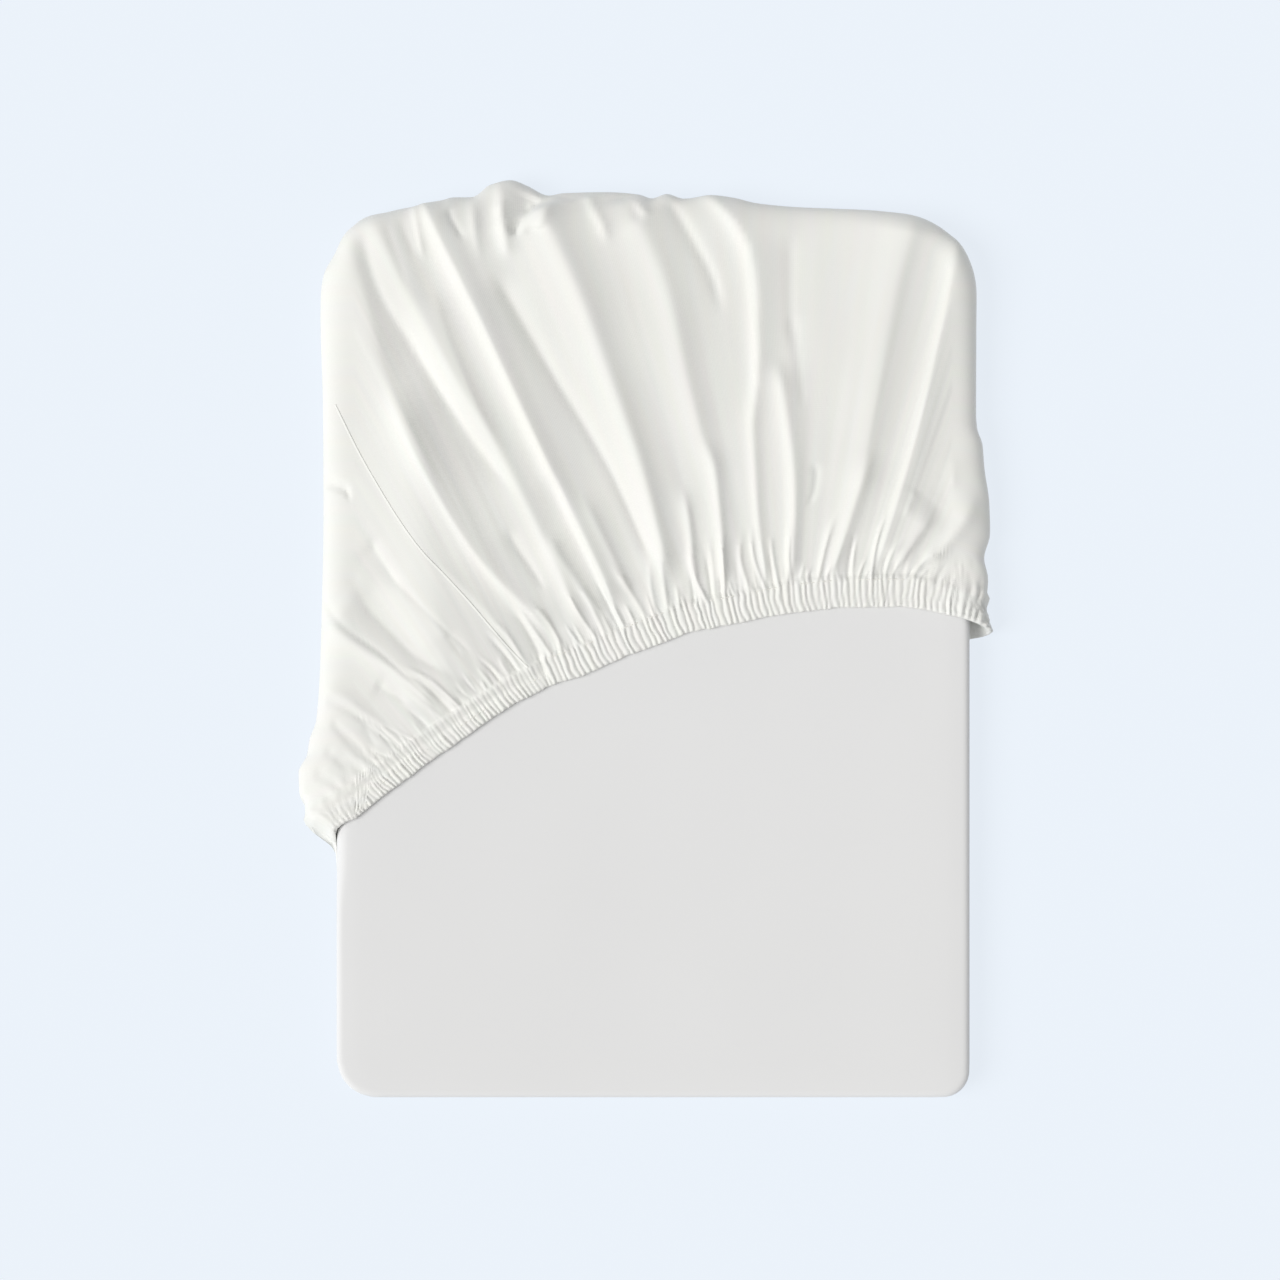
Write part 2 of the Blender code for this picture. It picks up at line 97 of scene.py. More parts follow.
def curve_through(xs, ys, at):
    """A curve through a table's values that never overshoots them."""
    xs, ys, at = (np.asarray(v, float) for v in (xs, ys, at))
    steps = np.diff(ys) / np.diff(xs)
    before, after = steps[:-1], steps[1:]
    same_way = before * after > 0
    total = np.where(same_way, before + after, 1.0)
    middle = np.where(same_way, 2 * before * after / total, 0.0)
    slopes = np.concatenate([steps[:1], middle, steps[-1:]])
    i = np.clip(np.searchsorted(xs, at) - 1, 0, len(xs) - 2)
    span = xs[i + 1] - xs[i]
    t = (at - xs[i]) / span
    rise = (2 * t**3 - 3 * t**2 + 1) * ys[i] + (3 * t**2 - 2 * t**3) * ys[i + 1]
    return rise + span * ((t**3 - 2 * t**2 + t) * slopes[i] + (t**3 - t**2) * slopes[i + 1])


def along_line(points, share):
    """Points at shares of the length of a smooth line through the given ones."""
    points = np.array(points, float)
    lengths = np.hypot(*np.diff(points, axis=0).T)
    places = np.concatenate([[0.0], np.cumsum(lengths)])
    at = np.asarray(share) * places[-1]
    return np.stack([curve_through(places, points[:, k], at) for k in (0, 1)], axis=-1)


def uneven(x, y, seed):
    """Smooth seeded noise from -1 to 1, with one hill or hollow to each unit of x and y."""
    table = np.random.default_rng(seed).uniform(-1.0, 1.0, (NOISE_CELLS, NOISE_CELLS))
    i, j = np.floor(x).astype(int), np.floor(y).astype(int)
    s, t = smooth(x - i), smooth(y - j)
    rows = [table[(i + a) % NOISE_CELLS, (j + b) % NOISE_CELLS] for a in (0, 1) for b in (0, 1)]
    low = rows[0] * (1 - t) + rows[1] * t
    high = rows[2] * (1 - t) + rows[3] * t
    return low * (1 - s) + high * s


print("halfway up the S:", float(smooth(0.5)))

# %% [markdown]
# ## Where the cloth lies
# The sheet is lofted. Each of its columns starts at the hem on the front, fans out over
# the pad, rounds the pad's edge and comes back flat underneath to the hem on the back. The
# tables say where the hem runs, how the columns fan out along the pad's edge and how far
# the cloth stands out past that edge. They are the CAD model's, so the fine cloth lands on
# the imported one, except that the hem goes straighter down the pad's left side here.

# %% Sizes of the pad and the cloth
PAD_WIDTH, PAD_LENGTH, PAD_THICKNESS = 300.0, 416.0, 14.0
HEAD_CORNER_RADIUS = 36.0
GAP = 0.5                   # between the pad and the sheet's back layer
CLOTH = 1.2                 # its thickness
FRONT_REST = 0.5            # the front layer's lift off the pad at the hem
LOFT, LOFT_BEGUN = 1.6, 0.05            # its further lift, a little begun at the hem
DOME, DOME_FROM_HEM, DOME_FROM_EDGE = 3.0, 70.0, 60.0   # air under its middle
SHOULDER = 9.0              # how far in from the pad's edge the cloth starts to round it
BACK_CORNER_LOFT = 0.8
SECTION_TIGHT, SECTION_SLACK = 3.4, 2.3     # the rounding's power: 2 is an ellipse
SLACK_FROM, SLACK_TO = 5.0, 16.0        # stand-off up to which it is tight, then slack
SIDE_SHARE = 0.15           # of the folds' height, left on the pad's side
HEM_SQUEEZE_LENGTH = 60.0   # rows lie closer on columns that are shorter than this
FRONT_LEVEL = CLOTH + GAP + PAD_THICKNESS + FRONT_REST
BACK_LEVEL = CLOTH
MID_LEVEL = (FRONT_LEVEL + BACK_LEVEL) / 2

FRONT_HEM = (
    (-130, -67), (-120, -59.5), (-98, -43.5), (-74, -27), (-52, -14.5), (-32, -7.5),
    (-6, 3.5), (18, 12), (42, 17), (66, 21.5), (90, 24), (114, 24.5), (129, 23),
)
BACK_HEM = ((-129, -108), (-90, -80), (-45, -50), (0, -30), (45, -14), (90, -1), (129, 7))
EDGE_START_Y = -120.0
# where the hem goes down the pad's sides, as places along its edge
LEFT_CROSSING = (44.0, 40.5, 33.0, 5.0)
RIGHT_CROSSING = (785.0, 787.5, 793.0, 797.0)
CROSSING_DOWNS = (0.0, 0.12, 0.5, 1.0)      # how far round the edge those places are
CROSSING_REACH = 0.15

# share of the front hem's length, place along the pad's edge
FAN = (
    (0.0, 44), (0.06, 84), (0.13, 128), (0.20, 168), (0.26, 208), (0.30, 245), (0.33, 275),
    (0.355, 297), (0.38, 316), (0.405, 334), (0.43, 347), (0.47, 358), (0.52, 372),
    (0.56, 388), (0.60, 408), (0.65, 432), (0.70, 464), (0.74, 494), (0.78, 532),
    (0.80, 554), (0.82, 574), (0.84, 590), (0.86, 606), (0.88, 624), (0.90, 650),
    (0.92, 688), (0.94, 706), (0.96, 728), (0.98, 755), (1.0, 785),
)
# place along the pad's edge, how far the cloth stands out past it
OUTLINE = (
    (17, 3.2), (26, 3.4), (32, 5), (38, 6.6), (40, 8), (44, 15), (52, 15.4), (55, 17.8),
    (66, 18.2), (69, 16.8), (73, 14.4), (81, 13), (90, 9.8), (124, 7.6), (195, 6.2),
    (240, 6.6), (282, 7.6), (300, 7), (310, 5.2),
    (318, 6.5), (326, 7.6), (340, 5.2), (352, 6.5), (362, 8.5), (368, 10.3), (377, 10.3),
    (385, 16.5), (395, 18.9), (403, 16), (413, 11.5), (420, 12.7), (440, 13.2), (456, 12),
    (462, 10), (469, 12.3), (477, 10), (490, 11.3), (500, 10.3), (512, 7.6), (530, 6),
    (565, 4.6), (582, 3.2), (690, 3.2), (697, 3.8), (704, 6.2), (716, 7.2), (732, 9.5),
    (746, 9.9), (758, 7), (768, 9), (775, 8.4), (781, 6.6), (787, 7.6), (793, 10.2),
)
hem_length = np.hypot(*np.diff(np.array(FRONT_HEM), axis=0).T).sum()
print(f"front hem {hem_length:.0f} mm long")


# %% Places on the cloth's base
def edge_place(along):
    """Points on the pad's edge and its outward directions there."""
    along = np.asarray(along, float)
    half_width, half_length, radius = PAD_WIDTH / 2, PAD_LENGTH / 2, HEAD_CORNER_RADIUS
    side = half_length - radius - EDGE_START_Y
    quarter = radius * math.pi / 2
    head = PAD_WIDTH - 2 * radius
    ends = np.cumsum([side, quarter, head, quarter])
    turn_left = np.clip((along - ends[0]) / quarter, 0, 1)
    turn_right = np.clip((along - ends[2]) / quarter, 0, 1)
    angle = math.pi - (turn_left + turn_right) * math.pi / 2
    normal = np.stack([np.cos(angle), np.sin(angle)], axis=-1)
    centre_x = radius - half_width + np.clip(along - ends[1], 0, head)
    climb = np.minimum(along - ends[0], 0)
    descent = np.maximum(along - ends[3], 0)
    centre_y = half_length - radius + climb - descent
    return np.stack([centre_x, centre_y], axis=-1) + radius * normal, normal


def crossing(u, down):
    """How far the columns near the hem's two crossings lean along the edge."""
    lean = np.zeros(np.broadcast(u, down).shape)
    for places, start in ((LEFT_CROSSING, 0.0), (RIGHT_CROSSING, 1.0)):
        near = 1.0 - smooth(np.abs(u - start) / CROSSING_REACH)
        lean = lean + near * curve_through(CROSSING_DOWNS, np.array(places) - places[0], down)
    return lean


def place_on_edge(u, down):
    """Where column u meets the pad's edge, as a place along it."""
    shares, places = zip(*FAN)
    return np.interp(u, shares, places) + crossing(u, down)


def stand_off(u):
    """How far the base stands out past the pad's edge."""
    places, distances = zip(*OUTLINE)
    return curve_through(places, distances, place_on_edge(u, np.full(np.shape(u), 0.5))) - CLOTH


def shoulder(u, down):
    """Where the flat part of a column ends and its rounding begins."""
    place, outward = edge_place(place_on_edge(u, np.full(len(u), down)))
    return place - SHOULDER * outward


def hem_loft(distance):
    """Lift of the slack front layer at a distance off the hem."""
    return LOFT * smooth(distance / HEM_SQUEEZE_LENGTH + LOFT_BEGUN)


def flat_base(u, front, hem_distance, share_up):
    """Base points of a row on the front or back layer, and what else the cloth needs there."""
    start = along_line(FRONT_HEM if front else BACK_HEM, u)
    way = shoulder(u, 0.0 if front else 1.0) - start
    length = np.hypot(*way.T)
    from_hem = hem_distance * np.minimum(1.0, length / HEM_SQUEEZE_LENGTH)
    distance = from_hem + share_up * (length - from_hem)
    spot = start + way * (distance / length)[:, None]
    level = FRONT_LEVEL if front else BACK_LEVEL
    normal = np.tile((0.0, 0.0, 1.0 if front else -1.0), (len(u), 1))
    across = 1.0 - (spot[:, 0] / (PAD_WIDTH / 2)) ** 2
    fade = smooth(distance / DOME_FROM_HEM) * smooth((length - distance) / DOME_FROM_EDGE)
    loft = (hem_loft(distance) + DOME * across * fade) * (1.0 if front else 0.0)
    return {
        "base": np.column_stack([spot, np.full(len(u), level)]), "normal": normal,
        "spot": spot, "loft": loft, "share": np.full(len(u), 1.0 if front else 0.0),
        "from_hem": distance, "down": 0.0 if front else 1.0, "u": u,
        "way": np.column_stack([way / length[:, None], np.zeros(len(u))]),
    }


def edge_base(u, down):
    """Base points of a row on the rounding, from 0 at the front shoulder to 1 at the back's."""
    place, outward = edge_place(place_on_edge(u, np.full(len(u), down)))
    out = SHOULDER + stand_off(u)
    half_height = (FRONT_LEVEL - BACK_LEVEL) / 2
    slack = smooth((stand_off(u) - SLACK_FROM) / (SLACK_TO - SLACK_FROM))
    power = SECTION_TIGHT + (SECTION_SLACK - SECTION_TIGHT) * slack
    angle = math.pi / 2 - math.pi * down
    c, s = abs(math.cos(angle)), abs(math.sin(angle))
    across = out * c ** (2 / power)
    rise = math.copysign(1.0, angle) * half_height * s ** (2 / power)
    spot = place + outward * (across - SHOULDER)[:, None]
    lean_out = (across / out) ** (power - 1) / out
    lean_up = np.sign(rise) * (np.abs(rise) / half_height) ** (power - 1) / half_height
    size = np.hypot(lean_out, lean_up)
    unrolled = across + np.abs(half_height - rise)
    front_length = np.hypot(*(shoulder(u, 0.0) - along_line(FRONT_HEM, u)).T)
    if down < 0.5:
        fade = math.cos(math.pi * down) ** 2
        loft, share = hem_loft(front_length) * fade, SIDE_SHARE + (1 - SIDE_SHARE) * fade
    else:
        loft = np.full(len(u), BACK_CORNER_LOFT * math.sin(2 * math.pi * down) ** 4)
        share = SIDE_SHARE * float(falling(down, 0.5, 0.25))
    return {
        "base": np.column_stack([spot, MID_LEVEL + rise]),
        "normal": np.column_stack([outward * (lean_out / size)[:, None], lean_up / size]),
        "spot": place + outward * (unrolled - SHOULDER)[:, None],
        "loft": loft, "share": np.full(len(u), share),
        "from_hem": front_length + unrolled, "down": down, "u": u,
        "outward": outward, "stand": across - SHOULDER,
    }


print("left hem turns over the side at", edge_place(LEFT_CROSSING[0])[0].round(1))

# %% [markdown]
# ## The folds
# The elastic bunches the cloth at the hem, so folds fan out from it like rays. A fold is a
# long soft hill with a sharper crest: here one row of a table, with the line that its crest
# follows, its height, its reach to either side and how slowly it begins and dies away. A
# cloth simulation gives folds too, but never the ones in the picture, so they are laid one
# by one. The first table is the CAD model's. The second holds the small creases that would
# be too fine for a solid. A valley has a height below zero.

# %% Table of the main folds
# name, first, second, third and last point of the crest (x, y), then height, reach to the
# left, reach to the right, length of the rise and of the fall
FOLDS = (
    ("left roll", (-148, 207), (-137, 172), (-128, 138), (-98, 72), 3.6, 18, 12, 6, 44),
    ("left valley", (-139, 204), (-128, 170), (-113, 146), (-88, 106), -1.9, 7, 5, 10, 26),
    ("low valley", (-123, 166), (-105, 134), (-90, 110), (-63, 74), -2.5, 12, 5, 24, 26),
    ("low shoulder", (-105, 176), (-95, 146), (-85, 123), (-68, 92), 1.0, 10, 4, 14, 26),
    ("left swell", (-114, 130), (-110, 75), (-103, 20), (-95, -30), 4.6, 38, 30, 50, 26),
    ("left crease", (-127, 131), (-108, 89), (-87, 54), (-47, 11), 3.4, 4, 16, 24, 14),
    ("shoulder", (-135, 212), (-107, 157), (-67, 88), (-31, 13), 3.2, 8, 13, 10, 14),
    ("long crest", (-111, 219), (-82, 161), (-55, 103), (-16, 22), 5.0, 4, 14, 6, 14),
    ("broad valley", (-76, 184), (-52, 142), (-22, 92), (1, 42), -2.0, 5, 6, 16, 14),
    ("broad", (-55, 216), (-30, 160), (-9, 101), (9, 32), 5.4, 12, 13, 6, 18),
    ("middle", (-14, 222), (6, 176), (17, 128), (30, 80), 3.6, 12, 12, 8, 36),
    ("middle foot", (23, 108), (29, 89), (32, 62), (34, 33), 2.6, 4, 5, 20, 10),
    ("hooked", (22, 226), (46, 190), (49, 143), (47, 105), 3.4, 3, 13, 6, 30),
    ("hooked foot", (47, 134), (47, 105), (49, 72), (54, 34), 1.9, 3, 5, 26, 10),
    ("short crest", (58, 143), (62, 121), (66, 90), (66, 37), 2.8, 4, 7, 16, 10),
    ("right broad", (124, 212), (114, 174), (105, 124), (96, 70), 3.4, 18, 11, 12, 36),
    ("right foot", (104, 101), (97, 79), (90.5, 58), (83, 36), 3.0, 6, 6, 20, 10),
    ("right slant", (145, 205), (139, 167), (127, 115), (105, 41), 3.0, 4.5, 13, 10, 14),
    ("right curl", (134, 74), (130, 66), (123, 55), (114, 42), 3.3, 9, 6, 14, 8),
    ("side curl", (156, 78), (149, 68), (141, 57), (127, 43), 3.0, 6, 6, 16, 8),
    ("head groove", (7, 219), (16, 203), (27, 183), (34, 160), -1.7, 5, 2.5, 5, 18),
    ("bunch", (-74, 231), (-72, 219), (-71, 207), (-69, 191), 3.5, 4, 8, 3, 18),
    ("bunch wing", (-83, 226), (-85, 212), (-84, 202), (-81, 186), 2.0, 4, 5, 3, 18),
    ("corner seam", (-106, 50), (-88, 32), (-71, 14), (-55, -10), 0.9, 4, 6, 20, 6),
    ("hollow", (-147, 46), (-131, 20), (-115, 4), (-86, -12), -2.2, 6, 12, 30, 24),
    ("low crease", (-157, 19), (-138, 5), (-118, -8), (-101, -23), 2.7, 6, 9, 8, 10),
    ("crest's foot", (-35, 80), (-27, 64), (-18, 46), (-9, 28), 1.3, 6, 4, 16, 10),
    ("shoulder's foot", (-50, 60), (-44, 48), (-33, 33), (-23, 19), 1.4, 4, 4, 10, 8),
    ("middle pleat", (14, 84), (16.5, 68), (18.5, 52), (21, 34), 1.7, 3, 3, 16, 8),
    ("last crease", (-158, -13), (-144, -20), (-130, -31), (-119, -41), 1.2, 6, 4, 6, 8),
)
CREST_SHARPNESS = 1.35      # a fold's section falls to about a third at its reach
CREST_ROUNDING = 0.25       # of the crest, as a share of the reach
LEAST_ROUNDING = 0.6
WIDE_AT_FIRST, WIDE_AT_LAST = 1.25, 0.55
HIGH_AT_FIRST, HIGH_AT_LAST = 1.3, 0.85
print(len(FOLDS), "main folds")

# %% Table of the small creases
CREASES = (
    ("low line", (-160, 31), (-145, 14), (-127, 1), (-101, -23), -0.8, 1.2, 2.0, 5, 8),
    ("last line", (-157, -18), (-143, -25), (-132, -34), (-121, -42), -0.9, 1.5, 2.4, 6, 6),
    ("low pleat", (-153, -29), (-147, -36), (-140, -44), (-132, -50), -0.8, 1.4, 2.2, 4, 6),
    ("tail pleat", (-151, -46), (-146, -49), (-141, -52), (-136, -55), -1.1, 1.4, 2.2, 4, 4),
    ("tail", (-162, -54), (-157, -57), (-152, -59), (-148, -62), -2.0, 1.3, 2.2, 3, 3),
    ("tail end", (-168, -62), (-162, -64), (-157, -65), (-153, -67), -2.2, 1.3, 2.4, 3, 3),
    ("tail side", (-157, -43), (-152, -46), (-147, -50), (-142, -54), -0.9, 1.5, 2.5, 4, 4),
    ("curl", (-157, -73), (-160, -74), (-163, -75), (-166, -77), -5.0, 1.6, 1.6, 2, 3),
    ("thin fold", (-130, 48), (-117, 32), (-105, 20), (-84, 1), -0.4, 1.2, 1.6, 12, 10),
    ("thin fold's hollow", (-134, 57), (-131, 50), (-124, 39), (-117, 30), -1.3, 8, 2.5, 6, 10),
    ("side arc", (-158, 83), (-151, 82), (-146, 80), (-142, 75), -2.2, 1.5, 2.0, 2, 4),
    ("small lump", (143, 95), (142, 89), (142, 84), (141, 78), 0.6, 4.5, 4.5, 6, 6),
    ("crest's valley", (-50, 88), (-40, 67), (-30, 46), (-18.5, 22), -1.3, 4.5, 1.4, 12, 4),
    ("under the slant", (124, 81), (123, 76), (121, 72), (119, 65), 0.7, 4.0, 3.0, 5, 6),
    ("curl's valley", (140, 83), (137, 72), (131, 61), (121, 48), -0.5, 7.0, 5.0, 8, 6),
    ("left shade", (-138, 40), (-129, 27), (-120, 15), (-107, 2), -0.8, 5.0, 12.0, 12, 12),
    ("dark spot", (-98, 13), (-96, 9), (-93, 5), (-90, 1), -0.5, 3, 3, 4, 5),
    ("low hollow", (-132, -11), (-127, -15), (-121, -18), (-115, -22), -1.0, 3.5, 3.5, 5, 5),
    ("tail hollow", (-138, -31), (-135, -35), (-133, -39), (-130, -43), -0.5, 2.5, 2.5, 4, 4),
    ("slot", (-70, 62), (-64, 52), (-57, 42), (-50, 31), -1.1, 3.0, 3.5, 8, 8),
    ("head streak 1", (-127, 206), (-123, 195), (-119, 184), (-115, 172), -0.4, 2.0, 2.5, 6, 10),
    ("head streak 2", (-119, 208), (-117, 201), (-114, 194), (-112, 188), -0.5, 2.5, 2.0, 4, 6),
    ("head streak 3", (-114, 216), (-112, 207), (-110, 197), (-108, 187), 1.2, 1.6, 3.0, 4, 8),
    ("head streak 4", (-97, 213), (-95, 207), (-92, 202), (-89, 197), -1.0, 1.8, 1.8, 3, 4),
    ("head streak 5", (-32, 222), (-28, 212), (-24, 204), (-21, 194), 2.0, 2.4, 5.0, 4, 10),
    ("head streak 6", (-13, 221), (-9, 216), (-5, 212), (-1, 208), 1.0, 1.6, 3.0, 3, 4),
    ("head hollow", (-13, 224), (-10, 217), (-8, 211), (-5, 204), -1.8, 8.0, 2.5, 3, 6),
    ("wedge", (-68, 188), (-70, 198), (-72, 208), (-73, 217), 1.6, 4.5, 3.0, 6, 3),
    ("pocket", (-55, 220), (-59, 211), (-64, 204), (-66, 198), -3.8, 6.0, 1.3, 3, 5),
    ("pocket's lip", (-46, 222), (-49, 214), (-52, 207), (-55, 200), 1.8, 5.5, 5.0, 3, 5),
    ("under the lip", (-60, 201), (-57, 202), (-54, 202), (-50, 203), -0.8, 1.4, 1.4, 2, 2),
    ("long hollow", (65, 204), (65, 184), (65, 166), (67, 144), -0.8, 5.0, 3.0, 14, 12),
    ("long line", (65, 164), (67, 148), (69, 134), (71, 116), -0.6, 1.6, 4.0, 8, 10),
    ("crinkle", (76, 93), (77, 85), (76, 79), (73, 72), -0.8, 1.2, 1.8, 4, 3),
)
print(len(CREASES), "small creases")


# %% How high the folds stand
def ridges(spots, table):
    """Sum of all the folds of a table at the spots."""
    total = np.zeros(len(spots))
    for _, first, second, third, last, high, left, right, rise, fall in table:
        first = np.array(first, float)
        chord = np.array(last, float) - first
        length = math.hypot(*chord)
        ahead = chord / length
        rightward = np.array((-ahead[1], ahead[0]))
        bends = [(np.array(p) - first) @ rightward for p in (second, third)]
        shares = [(np.array(p) - first) @ ahead / length for p in (second, third)]
        t = (spots - first) @ ahead / length
        part = np.clip(t, 0, 1)
        sideways = curve_through([0.0, *shares, 1.0], [0.0, *bends, 0.0], part)
        across = (spots - first) @ rightward - sideways
        width = np.where(across < 0, left, right)
        width = width * (WIDE_AT_FIRST + (WIDE_AT_LAST - WIDE_AT_FIRST) * part)
        tall = high * (HIGH_AT_FIRST + (HIGH_AT_LAST - HIGH_AT_FIRST) * part)
        rounding = np.maximum(CREST_ROUNDING * width, LEAST_ROUNDING)
        off_crest = np.hypot(across, rounding) - rounding
        profile = np.exp(-CREST_SHARPNESS * off_crest / width)
        total += tall * profile * smooth(t * length / rise) * smooth((1 - t) * length / fall)
    return total


print("height on the long crest:", ridges(np.array([(-50.0, 103.0)]), FOLDS).round(1))

# %% [markdown]
# ## The elastic hem
# The hem is a casing: the cloth's edge folded over an elastic and stitched down, so the
# elastic gathers it into a rib every 2 to 3 mm. Ribs stand square to the hem's edge, so
# every point of the cloth needs two numbers: how far along the hem it is, and how far from
# its edge. A k-d tree over points set closely along the hem finds both quickly.

# %% The hem's line, all the way round
HEM_POINT_SPACING = 0.05
LAYER_POINTS, CROSSING_POINTS = 600, 60


def hem_line():
    """Points round the whole opening: front, right crossing, back, left crossing."""
    share = np.linspace(0.0, 1.0, LAYER_POINTS)
    down = np.linspace(0.0, 1.0, CROSSING_POINTS)
    front, back = (np.column_stack([along_line(line, share), np.full(LAYER_POINTS, level)])
                   for line, level in ((FRONT_HEM, FRONT_LEVEL), (BACK_HEM, BACK_LEVEL)))
    right, left = (np.concatenate([edge_base(column, t)["base"] for t in down])
                   for column in (np.ones(1), np.zeros(1)))
    corners = np.concatenate([front, right, back[::-1], left[::-1], front[:1]])
    gaps = np.linalg.norm(np.diff(corners, axis=0), axis=1)
    places = np.concatenate([[0.0], np.cumsum(gaps)])
    at = np.arange(0.0, places[-1], HEM_POINT_SPACING)
    return at, np.column_stack([np.interp(at, places, corners[:, k]) for k in range(3)])


hem_at, hem_points = hem_line()
hem_tree = KDTree(len(hem_at))
for number, point in enumerate(hem_points):
    hem_tree.insert(point, number)
hem_tree.balance()
print(f"the opening is {hem_at[-1]:.0f} mm round")


# %% Ribs of the casing
RIB_PITCH, FINE_PITCH = 2.75, 2.3       # right of the joint and left of it
RIB_HEIGHT, FINE_HEIGHT = 0.9, 1.0
RIB_LEAN = 0.9              # how far the ribs lean over near the hem's edge
RIB_MEAN = 0.4              # taken off, so that ribs don't thicken the casing
RIBS_GROW_FROM, RIBS_GROW_OVER, RIBS_GROW_BY = 283.0, 20.0, 0.8     # near the right end
SWAY = 0.55                 # how far a rib wanders to the side
HEM_EXTRA = 1.1             # what the folded edge and the elastic add to the cloth
HEM_BUNCH = 3.6             # the casing where the elastic bunches it on the left side
HEM_ROLL = 1.3              # the rolled edge's radius
BUNCH_ROLL = 11.0           # the same where it is bunched
EDGE_SHARE = 0.45           # share of the casing's thickness at the very edge
BUNCH_EDGE_SHARE = 0.08     # and where it is bunched
TUCK_WIDTH = 10.0           # width over which the bunched edge leans in to the pad's side
TUCK_CLEARANCE = 0.3
CASING_WIDTH = 14.6
JOINT_AT = 97.5             # how far along the hem its ends are joined
JOINT_DEPTH, JOINT_WIDTH = 0.7, 0.7
LEFT_SIDE = 90.0            # length of the hem before the front, counted below zero
HEM_REACH = 46.0            # no rib or gather goes further off the hem's edge
# Left of the joint the hem shows two rows of gathers: place along the hem, upper edge of
# the first row, upper edge of the second, height of the second row's ribs
HEM_ROWS = (
    (-60, 8.4, 13.8, 0.2), (-20, 8.4, 13.8, 0.25), (20, 8.0, 13.6, 0.35),
    (40, 7.0, 12.9, 0.3), (60, 6.5, 12.3, 0.35), (97, 5.6, 12.2, 0.4),
)
SECOND_ROW_FOOT, SECOND_ROW_CLIMB = -0.35, 1.75     # its height at its foot, and the rise
QUIET_PLACES = ((33.0, 4.0), (94.5, 3.5))   # where there are hardly any ribs, and how wide
QUIET_LOSS = 0.8            # the share of their height that ribs lose there

RIB_COUNT, FINE_COUNT = 400, 500        # more than enough to go round the opening
rng = np.random.default_rng(7)


def uneven_ribs(pitch, widths, strengths, count):
    """Places where ribs of random width end, and each one's strength."""
    ends = np.cumsum(pitch * rng.uniform(*widths, count)) - LEFT_SIDE
    return np.concatenate([[-LEFT_SIDE], ends]), rng.uniform(*strengths, count + 1)


rib_ends, rib_strength = uneven_ribs(RIB_PITCH, (0.75, 1.25), (0.55, 1.25), RIB_COUNT)
rib_fade = rng.uniform(2.0, 8.0, RIB_COUNT + 1)
fine_ends, fine_strength = uneven_ribs(FINE_PITCH, (0.7, 1.3), (0.5, 1.3), FINE_COUNT)


def rib_profile(along, ends, strength):
    """Height of the ribs as a share of their table height, and the ribs' numbers."""
    count = np.interp(along, ends, np.arange(len(ends)))
    number = np.floor(count).astype(int)
    return strength[number] * np.sin(math.pi * (count - number)) ** 1.1, number


def bunching(along, down):
    """1 where the casing is bunched on the pad's left side and 0 on the front and back."""
    return smooth((down - 0.1) / 0.25) * falling(down, 0.5, 0.25) * (along < -5.0)


def hugging(along, down):
    """1 where the hem's edge leans in to the pad's left side."""
    return smooth((down - 0.04) / 0.1) * smooth(-along / 6.0)


def one_row_casing(along, off, leaning):
    """Right of the joint: one row of ribs, which fade out at unlike distances."""
    ribs, number = rib_profile(leaning, rib_ends, rib_strength)
    edge = CASING_WIDTH + 0.8 * uneven(along / 7.0 + 30, off * 0.0, 12)
    tall = RIB_HEIGHT * (1.0 + RIBS_GROW_BY * smooth((along - RIBS_GROW_FROM) / RIBS_GROW_OVER))
    fading = falling(off, edge - 2.0, rib_fade[number])
    return HEM_EXTRA * falling(off, edge - 1.0, 2.5) + tall * (ribs - RIB_MEAN) * fading


def two_row_casing(along, off, leaning):
    """Left of the joint: a tall row at the edge, and a low one that climbs behind it."""
    quiet = np.ones(len(along))
    for place, width in QUIET_PLACES:
        quiet = quiet - QUIET_LOSS * np.exp(-((along - place) / width) ** 2)
    places, *heights = (np.array(column, float) for column in zip(*HEM_ROWS))
    first_top, second_top, second_ribs = (np.interp(along, places, h) for h in heights)
    fine, _ = rib_profile(leaning, fine_ends, fine_strength)
    first = falling(off, first_top - 0.6, 1.0)
    second = (1.0 - first) * falling(off, second_top - 0.2, 0.8)
    part = np.clip((off - first_top) / (second_top - first_top), 0, 1)
    first_row = HEM_EXTRA + FINE_HEIGHT * quiet * (fine - RIB_MEAN)
    second_row = SECOND_ROW_FOOT + SECOND_ROW_CLIMB * part + second_ribs * (fine - RIB_MEAN)
    return first * first_row + second * second_row


def casing(along, off, down):
    """What the casing adds to the cloth at places along the hem and distances off its edge."""
    sway = SWAY * uneven(along / 3.0 + 40, off / 4.0, 11)
    leaning = along + sway - RIB_LEAN * falling(off, 0.0, 6.0)
    right = smooth((along - JOINT_AT) / 1.5)
    shape = right * one_row_casing(along, off, leaning)
    shape = shape + (1.0 - right) * two_row_casing(along, off, leaning)
    joint = JOINT_DEPTH * np.exp(-((along - JOINT_AT) / JOINT_WIDTH) ** 2)
    shape = shape - joint * falling(off, 12.0, 5.0)
    bunch = bunching(along, down) * (HEM_BUNCH - HEM_EXTRA) * falling(off, 10.0, 4.0)
    pressed = float(falling(down, 0.5, 0.25))       # the back lies flat
    return (shape + bunch) * pressed


print("a rib's height, mm:", casing(np.array([150.0]), np.array([6.0]), 0.0).round(2))
